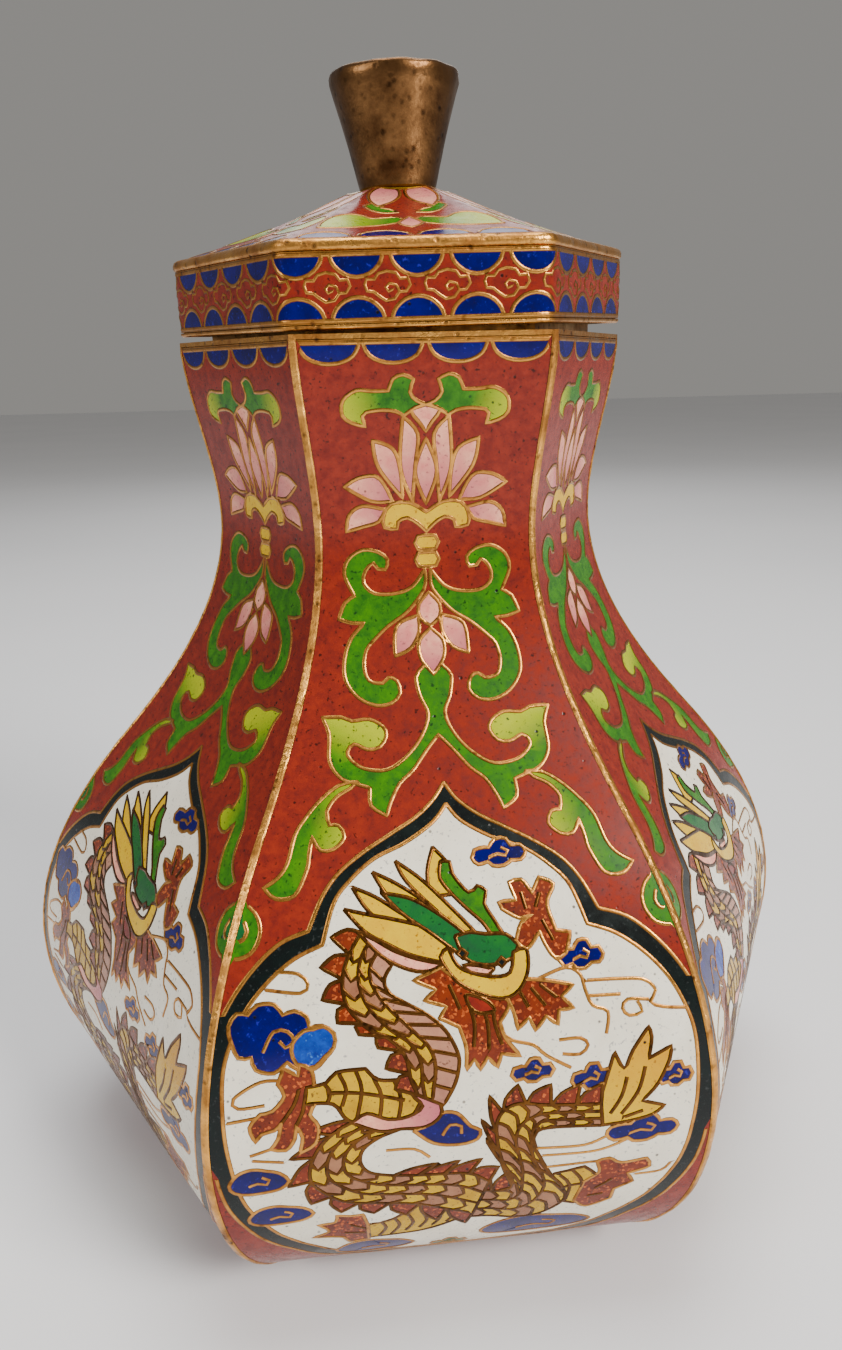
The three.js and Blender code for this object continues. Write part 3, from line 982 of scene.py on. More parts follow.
def lay_sky(drawing):
    """Loose wires for wind and water, and the clouds behind the dragon."""
    lines = [
        [(8.2, 71.2), (11.2, 70.3), (12.7, 71.1), (13.1, 72.6), (13.8, 74.4), (15.4, 75.2), (15.1, 77.5)],
        [(4.0, 76.4), (5.1, 77.3), (7.3, 78.0), (8.6, 79.2), (11.2, 80.8)],
        [(13.4, 71.8), (16.8, 71.9), (19.5, 72.2), (20.7, 73.4), (20.1, 74.6), (21.4, 75.2), (24.0, 75.5)],
        [(13.5, 73.4), (16.9, 73.5)],
        [(19.9, 74.3), (17.6, 74.1), (17.0, 75.0), (17.7, 75.8), (19.1, 75.5), (18.6, 74.3)],
        [(10.0, 77.7), (12.3, 77.7), (13.1, 78.5), (12.2, 79.4), (10.3, 79.2)],
        [(-18.9, 68.3), (-16.6, 68.7), (-15.7, 69.8), (-16.5, 70.6), (-20.0, 70.0)],
        [(7.6, 90.2), (12.7, 90.4), (15.4, 89.3)],
        [(8.1, 91.3), (13.9, 91.4), (17.4, 90.2)],
        [(8.7, 93.1), (14.2, 93.0)],
        [(-18.6, 79.3), (-21.0, 79.2), (-23.8, 80.7), (-23.4, 81.8), (-20.7, 81.7)],
        [(-24.6, 83.3), (-20.8, 82.9)],
        [(-20.5, 86.8), (-22.6, 87.4)],
        [(-22.4, 88.0), (-19.2, 88.6)],
        [(11.5, 96.8), (14.0, 97.6)],
        [(-8.6, 88.4), (-5.6, 88.6), (-4.0, 89.9)],
        [(18.8, 95.8), (21.6, 95.6), (22.6, 94.4)],
    ]
    lay_wires(drawing, lines, sky_wire)
    for cloud in clouds:
        lay_cloud(drawing, *cloud)
    big = [
        (-23.8, 74.6, 1), (-23.9, 73.3), (-23.0, 72.1), (-21.9, 72.3, 1), (-20.9, 71.4), (-19.2, 71.5),
        (-18.4, 72.6, 1), (-17.2, 72.3), (-16.0, 73.0), (-15.8, 74.1, 1), (-14.5, 74.0), (-13.3, 74.9),
        (-13.4, 76.3), (-14.2, 77.2, 1), (-15.4, 78.3), (-17.2, 78.2), (-18.2, 77.4, 1), (-19.6, 78.4),
        (-21.4, 77.9), (-21.8, 76.6, 1), (-23.1, 76.5),
    ]
    lay_cell(drawing, "blue", big)
    sky = [
        (-17.6, 75.6), (-16.4, 74.4), (-15.4, 74.3, 1), (-14.3, 74.1), (-13.3, 75.0), (-13.4, 76.3),
        (-14.4, 77.2, 1), (-15.4, 78.1), (-16.8, 78.1), (-17.6, 77.0),
    ]
    lay_cell(drawing, "sky", sky)
    big_curl = [(-20.6, 76.2), (-19.4, 74.2), (-18.0, 74.3), (-17.4, 75.3), (-18.3, 75.9), (-18.9, 75.2)]
    lay_wire(drawing, big_curl, sky_wire)
    mid = [
        (-5.7, 86.2, 1), (-4.1, 85.8), (-2.7, 84.5), (-1.0, 84.7), (0.4, 86.4), (1.4, 87.0), (1.1, 88.1),
        (-0.8, 88.6), (-3.5, 88.1),
    ]
    lay_cell(drawing, "blue", mid)
    lay_wire(drawing, [(-2.6, 87.2), (-1.8, 86.0), (-0.6, 86.3), (-0.6, 87.2)], sky_wire)


def lay_flame_tail(drawing):
    """The yellow flame at the end of the tail."""
    flame = [
        (14.2, 84.9, 1), (15.0, 82.2), (15.9, 79.5, 1), (16.9, 81.4), (17.9, 79.5), (19.7, 77.1, 1),
        (20.0, 78.3), (19.6, 80.6, 1), (22.1, 79.4, 1), (21.9, 80.8), (20.6, 83.5), (18.9, 85.4, 1),
        (21.4, 86.2, 1), (20.1, 87.2), (18.0, 87.7), (16.0, 87.9), (14.3, 88.0, 1),
    ]
    lay_dark(drawing, "yellow", flame, ((16.5, 86.5), (19.5, 79.0)))
    lines = [
        [(15.4, 86.6), (16.6, 84.6), (17.2, 82.4)],
        [(16.6, 86.8), (18.4, 84.2), (19.2, 81.4)],
        [(17.0, 87.2), (19.0, 86.6)],
    ]
    lay_wires(drawing, lines, dark_half)


def lay_claw(drawing, outline, creases):
    """A spangled brown piece in a gilt wire, such as a claw, with dark wires for its creases."""
    lay_cell(drawing, "brown", outline)
    lay_wires(drawing, creases, dark_half)


def lay_hind_parts(drawing):
    """The rear coil, the hind legs and their claws."""
    leg = [
        (9.2, 94.7), (11.0, 94.0), (12.9, 93.6, 1), (14.4, 95.4), (14.4, 98.0), (12.2, 100.2, 1),
        (10.0, 98.6),
    ]
    lay_dark(drawing, "gold", leg)
    arcs = [
        [(10.2, 94.6), (11.4, 96.4), (11.2, 99.2)],
        [(11.6, 94.0), (12.8, 96.2), (12.4, 99.6)],
        [(9.6, 97.2), (11.4, 96.6), (13.6, 96.4)],
    ]
    lay_wires(drawing, arcs, dark_half)
    claw = [
        (13.0, 96.2, 1), (14.6, 94.8), (14.2, 93.0, 1), (15.6, 92.7), (17.0, 93.6), (19.8, 93.3, 1),
        (20.3, 94.7), (17.9, 95.5, 1), (18.6, 97.0, 1), (16.6, 98.2, 1), (16.4, 100.0, 1), (13.7, 101.3),
        (12.2, 99.6, 1),
    ]
    lay_claw(drawing, claw, [[(14.4, 97.6), (16.2, 96.2)], [(13.6, 99.0), (15.4, 98.8)]])
    outer = [
        (-2.6, 100.5), (2.5, 101.0), (5.6, 102.0), (8.6, 101.7), (11.0, 99.2), (10.6, 96.6), (9.4, 94.7),
        (8.1, 92.0), (7.2, 89.7), (7.4, 88.0), (9.2, 87.6), (14.6, 88.0),
    ]
    inner = [
        (-2.7, 95.2), (2.2, 95.9), (4.6, 96.2), (4.9, 94.1), (3.8, 91.6), (3.2, 88.5), (3.2, 86.2),
        (4.1, 84.8), (5.7, 84.3), (8.7, 84.8), (14.4, 85.3),
    ]
    lay_scaly(drawing, inner, outer, rows=17, fins=11, lanes=3)
    thigh = [
        (-3.2, 96.6, 1), (-5.1, 97.0), (-8.1, 99.4), (-11.0, 100.0, 1), (-10.6, 103.2, 1), (-4.9, 102.8),
        (-0.5, 100.7), (0.8, 98.6),
    ]
    lay_dark(drawing, "gold", thigh)
    for step in range(7):
        across = -9.6 + step * 1.5
        arc = [(across, 103.0 - step * 0.35), (across + 0.8, 101.2 - step * 0.3)]
        lay_wire(drawing, arc + [(across + 0.2, 99.6 - step * 0.4)], dark_half)
    claw = [
        (-10.8, 100.0, 1), (-11.3, 97.8, 1), (-12.6, 97.9), (-14.1, 97.5, 1), (-14.3, 98.8),
        (-16.2, 99.0, 1), (-15.0, 100.6), (-16.9, 101.7, 1), (-14.8, 102.0), (-13.5, 102.4, 1),
        (-12.8, 104.0, 1), (-10.7, 103.6, 1),
    ]
    lay_claw(drawing, claw, [[(-11.2, 100.8), (-12.8, 99.6)], [(-11.2, 101.8), (-13.4, 101.4)]])


def lay_fore_parts(drawing):
    """The front coil, the banded arm with its claw, and the neck."""
    outer = [
        (-11.2, 84.2), (-13.5, 85.3), (-15.4, 87.1), (-16.5, 89.5), (-16.5, 91.8), (-15.0, 93.7),
        (-13.0, 95.3), (-10.4, 95.9), (-7.7, 96.4), (-5.1, 97.0), (-2.3, 98.4), (0.8, 99.9),
    ]
    inner = [
        (-7.0, 85.9), (-9.3, 86.7), (-11.0, 88.0), (-11.3, 89.7), (-10.4, 91.1), (-8.0, 91.9),
        (-5.0, 92.3), (-2.4, 92.5), (0.4, 92.9), (2.4, 94.4),
    ]
    lay_fins(drawing, inner[5:], outer[6:], count=4)
    lay_scaly(drawing, outer, inner, rows=12, fins=9, lanes=3)
    claw = [
        (-15.6, 80.0, 1), (-15.8, 78.4), (-17.0, 77.7, 1), (-17.2, 78.9, 1), (-18.6, 78.0, 1),
        (-19.3, 79.6, 1), (-18.7, 80.9), (-20.0, 82.4), (-21.2, 82.6, 1), (-22.4, 84.0), (-21.9, 85.8, 1),
        (-21.2, 84.9), (-19.9, 84.6), (-19.2, 83.9, 1), (-19.6, 85.6), (-20.4, 86.8, 1), (-18.9, 87.1),
        (-17.9, 85.8), (-17.7, 84.3, 1), (-17.1, 85.7), (-17.5, 87.6, 1), (-15.8, 86.6), (-15.4, 84.6),
        (-16.2, 83.2), (-15.6, 82.0, 1),
    ]
    creases = [[(-17.2, 80.4), (-17.8, 82.0), (-19.2, 83.9)], [(-16.6, 81.4), (-17.0, 83.0), (-17.7, 84.3)]]
    lay_claw(drawing, claw, creases)
    arm = [
        (-4.2, 81.1), (-6.0, 80.4), (-9.0, 80.1), (-10.3, 78.8, 1), (-13.3, 78.9), (-14.4, 79.9),
        (-16.4, 80.2, 1), (-16.7, 82.0, 1), (-13.8, 82.3), (-12.3, 84.3), (-9.2, 85.2), (-6.0, 84.8),
    ]
    lay_dark(drawing, "gold", arm)
    arcs = [
        [(-14.6, 80.0), (-14.0, 81.0), (-14.4, 82.1)],
        [(-13.0, 79.2), (-12.4, 80.8), (-12.9, 82.6)],
        [(-11.3, 79.0), (-10.8, 81.0), (-11.4, 84.0)],
        [(-9.4, 80.2), (-8.8, 82.0), (-9.2, 85.0)],
        [(-7.4, 80.4), (-6.8, 82.4), (-7.2, 84.8)],
        [(-14.2, 81.0), (-10.8, 81.4), (-6.4, 82.6)],
    ]
    lay_wires(drawing, arcs, dark_half)
    band = [
        (-4.2, 81.1, 1), (-2.9, 83.0), (-2.7, 84.7), (-4.3, 85.9), (-7.0, 85.9), (-9.2, 85.9),
        (-12.0, 84.6, 1), (-10.4, 83.7), (-8.2, 84.6), (-6.1, 84.5), (-4.6, 83.5), (-5.6, 82.0),
    ]
    lay_dark(drawing, "pink", band, ((-10.0, 84.5), (-3.2, 84.0)))
    outer = [
        (-9.9, 65.0), (-11.0, 66.6), (-11.9, 68.5), (-12.2, 70.5), (-11.6, 72.7), (-9.6, 74.9),
        (-7.6, 76.0), (-6.1, 78.0), (-5.7, 80.4), (-5.0, 82.2),
    ]
    inner = [
        (-7.0, 68.6), (-7.9, 70.0), (-7.4, 71.4), (-5.8, 72.5), (-3.6, 73.9), (-1.8, 75.7), (-0.7, 78.0),
        (-0.6, 79.3), (-1.1, 81.3), (-2.4, 83.6),
    ]
    lay_scaly(drawing, outer, inner, rows=10, fins=8, lanes=2, scaled=0.56, height=neck_fin_height)


def lay_head(drawing):
    """The mane, horn, brow, snout, beard and the raised fore claw."""
    arm = [
        (6.2, 67.2, 1), (6.9, 65.4), (8.2, 64.6, 1), (6.8, 64.9), (5.0, 63.8, 1), (4.7, 63.1),
        (6.6, 63.0, 1), (6.0, 61.1, 1), (7.4, 60.9), (8.4, 62.4, 1), (9.3, 60.8, 1), (10.8, 61.6),
        (10.0, 63.2), (10.0, 64.4), (10.6, 66.4, 1), (12.1, 66.7, 1), (11.4, 68.8), (10.2, 69.2),
        (9.2, 67.6), (8.8, 66.4, 1), (7.3, 68.1),
    ]
    creases = [[(7.6, 64.0), (7.2, 62.2)], [(8.6, 63.9), (9.2, 62.4)], [(9.2, 65.2), (10.2, 67.4)]]
    lay_claw(drawing, arm, creases)
    beard = [
        (-1.9, 69.2, 1), (0.2, 71.0), (2.2, 72.1), (5.0, 73.2), (3.9, 75.3, 1), (4.4, 77.0),
        (5.9, 79.0, 1), (3.9, 78.6, 1), (3.4, 80.0, 1), (2.4, 78.8, 1), (1.6, 80.1, 1), (1.0, 78.9, 1),
        (0.1, 80.0, 1), (0.2, 77.6), (-0.4, 75.4, 1), (-2.4, 74.3, 1), (-1.6, 73.2, 1), (-3.9, 72.4, 1),
        (-2.6, 71.4, 1), (-4.9, 70.3, 1),
    ]
    creases = [
        [(0.4, 72.2), (1.2, 75.0), (1.0, 77.6)],
        [(2.0, 73.0), (2.6, 75.4), (2.6, 78.0)],
        [(-1.2, 71.0), (-0.2, 73.6)],
        [(3.2, 73.8), (3.4, 75.6), (4.0, 77.6)],
    ]
    lay_claw(drawing, beard, creases)
    lay_dark(drawing, "red", [(0.6, 72.2), (2.4, 72.8), (3.4, 74.0), (1.8, 74.2), (0.8, 73.4)])
    tuft = [
        (6.0, 71.0, 1), (9.0, 71.4), (11.9, 72.1, 1), (10.6, 73.2, 1), (11.8, 74.5, 1), (10.2, 74.6, 1),
        (10.0, 76.1, 1), (8.8, 75.1, 1), (7.6, 76.5, 1), (7.0, 75.1, 1), (5.7, 76.2, 1), (5.4, 74.4),
        (4.6, 72.4, 1),
    ]
    creases = [[(6.2, 72.4), (7.0, 74.0)], [(7.4, 72.0), (8.8, 74.0)], [(8.4, 71.8), (10.0, 73.2)]]
    lay_claw(drawing, tuft, creases)
    mane = [
        [(-1.8, 56.8, 1), (-0.2, 58.9), (0.4, 61.9, 1), (-2.5, 62.0, 1), (-2.6, 59.4)],
        [(-5.9, 58.0, 1), (-3.2, 60.2), (0.2, 63.9), (2.5, 66.6, 1), (1.0, 66.3), (-2.0, 63.4),
         (-4.9, 60.2)],
        [(-8.4, 59.0, 1), (-6.2, 60.2), (-3.4, 62.2), (-0.8, 64.6), (1.2, 66.6, 1), (-1.6, 66.0),
         (-5.2, 63.6), (-7.2, 61.2)],
        [(-10.6, 60.4, 1), (-8.2, 61.6), (-5.4, 63.6), (-2.6, 65.2, 1), (-3.2, 66.0), (-6.8, 65.0),
         (-9.2, 62.8)],
        [(-11.6, 62.6, 1), (-8.8, 63.4), (-6.5, 64.0), (-3.4, 65.0), (-1.4, 66.4), (-0.6, 67.8),
         (-1.2, 68.9, 1), (-4.8, 67.8), (-7.4, 66.4), (-9.6, 65.0)],
    ]
    for lock in mane:
        lay_dark(drawing, "yellow", lock)
    jaw = [
        (-10.4, 64.9, 1), (-8.6, 65.9), (-6.6, 67.2), (-4.2, 68.2), (-1.6, 68.9, 1), (-3.1, 69.5),
        (-5.2, 69.2), (-8.0, 67.6),
    ]
    lay_dark(drawing, "pink", jaw)
    band = [
        (-7.6, 61.2, 1), (-4.6, 62.0), (-2.0, 63.6), (0.2, 65.4), (2.4, 67.4, 1), (1.6, 69.0),
        (-0.4, 67.6), (-2.8, 65.6), (-5.4, 63.6),
    ]
    lay_dark(drawing, "deep_green", band)
    horn = [
        (-1.1, 58.4, 1), (-0.1, 58.5), (0.1, 59.8), (1.6, 61.8), (2.6, 61.2, 1), (3.5, 61.8), (3.2, 63.1),
        (4.0, 64.7), (5.0, 66.5, 1), (3.8, 66.4), (2.8, 65.0), (1.2, 63.4), (-0.3, 61.7), (-1.3, 60.1),
    ]
    lay_dark(drawing, "green", horn)
    brow = [
        (-0.2, 66.2, 1), (1.4, 65.9), (3.0, 66.2), (5.2, 66.4), (6.4, 67.6, 1), (5.6, 68.9), (3.2, 69.4),
        (0.8, 68.6),
    ]
    lay_dark(drawing, "deep_green", brow)
    snout = [
        (-1.0, 67.3, 1), (-0.2, 69.1), (1.2, 70.0), (3.6, 70.6), (5.3, 70.3), (5.8, 68.3, 1), (7.2, 68.0),
        (7.2, 70.3), (6.1, 72.2), (4.4, 72.9), (2.0, 72.2), (-0.4, 70.7), (-1.9, 68.2),
    ]
    lay_dark(drawing, "yellow", snout)
    lay_dark(drawing, "pink", [(0.4, 69.2), (1.8, 69.3), (3.6, 69.9), (3.0, 70.4), (1.2, 70.0)])
    for across, down in ((0.4, 68.0), (4.5, 69.2)):
        eye = [(across - 0.55, down), (across, down - 0.5), (across + 0.55, down), (across, down + 0.5)]
        lay_dark(drawing, "black", eye)


lay_sky(side_drawing)
lay_flame_tail(side_drawing)
lay_hind_parts(side_drawing)
lay_fore_parts(side_drawing)
lay_head(side_drawing)


# Setting the six enamel sides: the drawing is cut once and bent to each side of the vessel, and each
# side is a closed sheet of glass that fills its sunk copper to the strips.
side_row_count = 96
side_rows = np.arange(panel_top, panel_bottom + 0.01, (panel_bottom - panel_top) / side_row_count)
rim_steps = 20


def side_rim():
    """The panel's edge as one loop: down the left, along the bottom, up the right and along the top."""
    left = [(-half_width(down), down) for down in side_rows]
    right = [(half_width(down), down) for down in side_rows][::-1]
    shares = np.arange(1, rim_steps) / rim_steps
    bottom = [(half_width(panel_bottom) * (2 * share - 1), panel_bottom) for share in shares]
    top = [(half_width(panel_top) * (1 - 2 * share), panel_top) for share in shares]
    return np.array(left + bottom + right + top, float)


def side_under_faces():
    """The hidden face of the panel in strips from its left edge to its right one."""
    rows = len(side_rows)
    left = list(range(rows))
    bottom = list(range(rows, rows + rim_steps - 1))
    right = list(range(rows + rim_steps - 1, 2 * rows + rim_steps - 1))[::-1]
    top = list(range(2 * rows + rim_steps - 1, 2 * rows + 2 * rim_steps - 2))
    strips = [[left[i], left[i + 1], right[i + 1], right[i]] for i in range(rows - 1)]
    strips[-1][2:2] = bottom
    strips[0] += top
    return [tuple(strip) for strip in strips]


def side_place(side):
    """Where the spots of the drawing come to lie on one side of the vessel."""
    out = heading(30 + 60 * side)
    sideways = heading(120 + 60 * side)

    def place(spots, lifts):
        facing = np.interp(spots[:, 1], downs, drops)
        rising = np.interp(spots[:, 1], downs, leans)
        points = on_side(side, spots[:, 0], spots[:, 1], lifts)
        across = np.tile(sideways, (len(spots), 1))
        down_way = np.outer(rising, out) - np.outer(facing, (0, 0, 1))
        outward = np.outer(facing, out) + np.outer(rising, (0, 0, 1))
        return points, across, down_way, outward

    return place


side_cut = triangulate(side_drawing, side_rim(), inside_side)
for side in range(6):
    name = "enamel_side_%d" % side
    panel = enamel_piece(name, side_cut, side_place(side), [], side_under_faces(), turned=True)
    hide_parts("vessel")


# The collar: a plain brass strip bent to six sides and soldered inside the mouth. The lid slips over
# it. It's darker than the gilt edges.
collar_corner_radius = 24.0
collar_wall = 0.8
collar_foot = 103.0
collar_top = 114.0
collar_edge = 0.15
collar_waver = 0.06
spots_per_side = 8
spot_inset = 0.25
uneven_top = 0.5
waver_per_mm = 0.31

collar_brass = metal("collar_brass", (206, 160, 92), (142, 98, 52), (60, 38, 20), 0.3, 0.55, 0.4)


def build_collar():
    """The six-sided strip, with softly rounded edges and a slightly uneven top."""
    inner = collar_corner_radius - collar_wall / FLAT
    rows = [
        (collar_corner_radius - collar_edge, collar_foot),
        (collar_corner_radius, collar_foot + collar_edge),
        (collar_corner_radius, collar_top - collar_edge),
        (collar_corner_radius - collar_edge, collar_top),
        (inner + collar_edge, collar_top),
        (inner, collar_top - collar_edge),
        (inner, collar_foot + collar_edge),
        (inner + collar_edge, collar_foot),
    ]
    points = []
    for radius, height in rows:
        for side in range(6):
            start = heading(60 * side) * radius
            end = heading(60 * side + 60) * radius
            for step in range(spots_per_side):
                share = (step + spot_inset) / (spots_per_side - 2 * spot_inset)
                spot = start + (end - start) * share
                waver = collar_waver if height > collar_top - uneven_top else 0.0
                waver = abs(waver * noise.noise(Vector(spot * waver_per_mm)))
                points.append(spot + np.array([0, 0, height - waver]))
    around = 6 * spots_per_side
    faces = rings_to_faces(len(rows), around)
    last = (len(rows) - 1) * around
    for i in range(around):
        j = (i + 1) % around
        faces.append((last + i, last + j, j, i))
    piece = make_mesh("collar_strip", points, faces, [collar_brass], smooth=False)
    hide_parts("collar")


build_collar()


# The lid's metal: a copper shell with rounded corners, its band and roof sunk to hold the enamel. A
# thick gilt edge runs round the top of the band and a thin one below. It rests loose on the mouth,
# turned and cocked by a hair as in the photo.
lid_band_height = 8.6
lid_wall = 1.8
lid_apothem = mouth_radius * FLAT
roof_rise = 7.1
roof_hollow = 0.23
roof_edge_apothem = lid_apothem - 0.4
roof_seat_apothem = 5.2
lid_apex = lid_band_height + roof_rise
corner_crispness = 60
lid_sink = 0.34
band_enamel_low = 0.5
band_enamel_high = 7.5
roof_enamel_outer = 0.955
lid_round = 216
edge_roughness = 0.09
lid_lift_way = 60.0
lid_tilt = 1.5
lid_turn = -1.6
lid_seam = 0.3
resting_corner = -heading(lid_lift_way) * mouth_radius
lid_place = (
    Matrix.Translation(Vector(resting_corner) + Vector((0, 0, mouth_height + lid_seam)))
    @ Matrix.Rotation(math.radians(lid_tilt), 4, Vector(heading(lid_lift_way - 90)))
    @ Matrix.Translation(-Vector(resting_corner))
    @ Matrix.Rotation(math.radians(lid_turn), 4, "Z")
)


def on_lid(points):
    """Points from the lid's own upright frame moved to where the lid rests."""
    turn = np.array(lid_place)
    return np.asarray(points, float) @ turn[:3, :3].T + turn[:3, 3]


def lid_gauge(x, y):
    """How far out a spot is, 1 at the lid's edge, with the six corners rounded a little."""
    total = 0.0
    for side in range(6):
        out = heading(30 + 60 * side)
        total = total + np.maximum(0, (x * out[0] + y * out[1]) / lid_apothem) ** corner_crispness
    return total ** (1 / corner_crispness)


def roof_height(gauge):
    """The roof's height at a gauge, in the lid's frame."""
    share = (roof_edge_apothem - gauge * lid_apothem) / (roof_edge_apothem - roof_seat_apothem)
    share = np.clip(share, 0, 1)
    return lid_band_height + roof_rise * ((1 - roof_hollow) * share + roof_hollow * share**2)


edge_angles = np.radians(np.arange(90, 450.01, 0.25))
edge_radii = 1 / lid_gauge(np.cos(edge_angles), np.sin(edge_angles))
edge_x = edge_radii * np.cos(edge_angles)
edge_y = edge_radii * np.sin(edge_angles)
edge_run = np.concatenate([[0], np.cumsum(np.hypot(np.diff(edge_x), np.diff(edge_y)))])
lid_girth = float(edge_run[-1])
edge_normal_x = np.gradient(edge_y, edge_run)
edge_normal_y = -np.gradient(edge_x, edge_run)


def on_band(along, height, lift):
    """Points on the lid's band, in the lid's frame, from mm round it and mm up it."""
    x = np.interp(along, edge_run, edge_x) + lift * np.interp(along, edge_run, edge_normal_x)
    y = np.interp(along, edge_run, edge_y) + lift * np.interp(along, edge_run, edge_normal_y)
    return np.stack([x, y, height + 0 * x], axis=-1)


def build_lid_shell():
    """The closed lid shell as rings from its ceiling down, out round the band and over the roof."""
    spots = np.linspace(0, lid_girth, lid_round, endpoint=False)
    inner = 1 - lid_wall / lid_apothem
    ceiling = np.linspace(0.02, inner - 0.02, 7)
    rows = [(gauge, 0.0, float(roof_height(gauge)) - lid_wall * 1.06) for gauge in ceiling]
    rows += [(inner, 0.0, lid_band_height - 1.6), (inner, 0.0, 0.25)]
    inside_rows = len(rows)
    rows += [(inner + 0.01, 0.0, 0.0)]
    rows += [(1.0, -0.2, 0.0), (1.0, 0.03, 0.2), (1.0, 0.05, band_enamel_low - 0.05)]
    rows += [(1.0, -lid_sink, band_enamel_low), (1.0, -lid_sink, band_enamel_high)]
    rows += [(1.0, 0.05, band_enamel_high + 0.05), (1.0, 0.2, 7.8), (1.0, 0.2, 8.15), (1.0, 0.02, 8.5)]
    rows += [(1.0, -0.35, 8.72), (0.965, 0.0, float(roof_height(0.965)) + 0.05)]
    rows += [(roof_enamel_outer, 0.0, float(roof_height(roof_enamel_outer)) - lid_sink)]
    rows += [(gauge, 0.0, float(roof_height(gauge)) - lid_sink) for gauge in np.linspace(0.9, 0.21, 13)]
    points = []
    for gauge, lift, height in rows:
        for spot in spots:
            x, y, z = on_band(np.array([spot]), height, lift)[0]
            rough = 0.0
            if lift > 0.1:
                rough = edge_roughness * noise.noise(Vector((x * 0.9, y * 0.9, height * 2)))
            out = math.hypot(x, y)
            points.append((x * gauge * (1 + rough / out), y * gauge * (1 + rough / out), z + rough * 0.6))
    for spot in spots:
        x, y, z = on_band(np.array([spot]), 0, 0)[0]
        points.append((x * 0.01, y * 0.01, lid_apex - lid_sink))
    faces = rings_to_faces(len(rows) + 1, lid_round) + end_faces(len(rows) + 1, lid_round)
    outside_rows = len(rows) - inside_rows
    choices = [ENAMELLED] * (inside_rows * lid_round) + [GILDED] * (outside_rows * lid_round)
    choices += [ENAMELLED, GILDED]
    piece = make_mesh("lid_shell", on_lid(points), faces, [gilt, counter_enamel], choices)
    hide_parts("lid")


build_lid_shell()


# The lid's enamel: a band of cloud loops on brick red between two rows of blue discs, and a roof with
# discs along its edge, leaves above them and a ring of petals under the knob. Made like the sides.
band_periods = 27
band_period = lid_girth / band_periods
band_low = band_enamel_low + 0.05
band_high = band_enamel_high - 0.05
band_fold = lid_girth / 3 + 0.5
loop_wire = 0.17
curl_wire = 0.15
band_margin = 0.3
band_end_margin = 0.25
disc_width = 0.43
disc_start = 0.4
roof_gauge = 0.948
roof_margin = 0.012


def inside_band(spots):
    """Which spots are far enough inside the band's enamel to carry a wire."""
    ends = (spots[:, 0] > band_end_margin) & (spots[:, 0] < lid_girth - band_end_margin)
    return ends & (spots[:, 1] > band_low + band_margin) & (spots[:, 1] < band_high - band_margin)


def lay_band(drawing):
    """Discs above and below, with a cloud loop between each pair of them."""
    reach = band_period * disc_width
    lay_ground(drawing, "red", -5, -5, lid_girth + 5, 15)
    for i in range(-1, band_periods + 1):
        middle = (i + 0.5) * band_period
        for edge, way in ((band_high, -1), (band_low, 1)):
            start = edge - way * disc_start
            disc = [(middle - reach, start, 1), (middle + reach, start, 1)]
            curve = [
                (1.0, 0.6), (0.84, 1.45), (0.48, 2.2), (0, 2.5), (-0.48, 2.2), (-0.84, 1.45), (-1.0, 0.6),
            ]
            disc += [(middle + reach * x, edge + way * y) for x, y in curve]
            lay_cell(drawing, "blue", disc)
        here = (i + 1) * band_period
        level = (band_low + band_high) / 2
        loop = [
            (-2.3, 0.2), (-2.1, 0.75), (-1.3, 0.7), (-0.9, 1.25), (0.0, 1.45), (0.9, 1.25), (1.3, 0.7),
            (2.1, 0.75), (2.35, 0.1), (1.9, -0.5), (1.2, -0.55), (0.7, -1.2), (-0.2, -1.35), (-0.9, -0.9),
            (-1.4, -0.5), (-2.1, -0.4),
        ]
        lay_wire(drawing, [(here + x, level + y) for x, y in loop + loop[:1]], loop_wire)
        curl = [(1.2, -0.5), (0.9, 0.1), (0.2, 0.3), (-0.2, -0.1), (0.1, -0.5), (0.5, -0.3)]
        lay_wire(drawing, [(here + x, level + y) for x, y in curl], curl_wire)
    for level in (band_low + 0.32, band_high - 0.32):
        line = np.array([(along, level) for along in np.arange(-1, lid_girth + 1, 1.0)])
        drawing["wires"].append((line, wire_half))
    for low in (band_low - 0.2, band_high - 0.1):
        lay_ground(drawing, "gilt", -5, low, lid_girth + 5, low + 0.3)


def band_place(spots, lifts):
    """Where the band's drawing comes to lie on the seated lid."""
    turn = np.array(lid_place)[:3, :3]
    points = on_lid(on_band(spots[:, 0], spots[:, 1], lifts))
    facing_x = np.interp(spots[:, 0], edge_run, edge_normal_x)
    facing_y = np.interp(spots[:, 0], edge_run, edge_normal_y)
    out = np.stack([facing_x, facing_y, 0 * facing_x], axis=-1)
    out /= np.linalg.norm(out, axis=1)[:, None]
    across = np.stack([-out[:, 1], out[:, 0], 0 * facing_x], axis=-1)
    upward = np.tile((0.0, 0.0, 1.0), (len(spots), 1))
    return points, across @ turn.T, upward @ turn.T, out @ turn.T


def build_band():
    """The enamel ring of the band, its two ends meeting at the back."""
    drawing = new_drawing()
    lay_band(drawing)
    marks = np.linspace(0, lid_girth, lid_round + 1)
    rim = [(mark, band_low) for mark in marks] + [(mark, band_high) for mark in marks[::-1]]
    cut = triangulate(drawing, np.array(rim), inside_band)
    count = len(marks)
    under = [(i, i + 1, 2 * count - 2 - i, 2 * count - 1 - i) for i in range(count - 1)]
    piece = enamel_piece("lid_band_enamel", cut, band_place, [], under, fold=band_fold)
    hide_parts("lid")


def on_sector(side, points):
    """Points of one roof side, from mm along its edge and mm inwards, as seen from above."""
    out, along = heading(30 + 60 * side), heading(120 + 60 * side)
    return [(*(out * (lid_apothem - y) + along * x)[:2], *sharp) for x, y, *sharp in points]


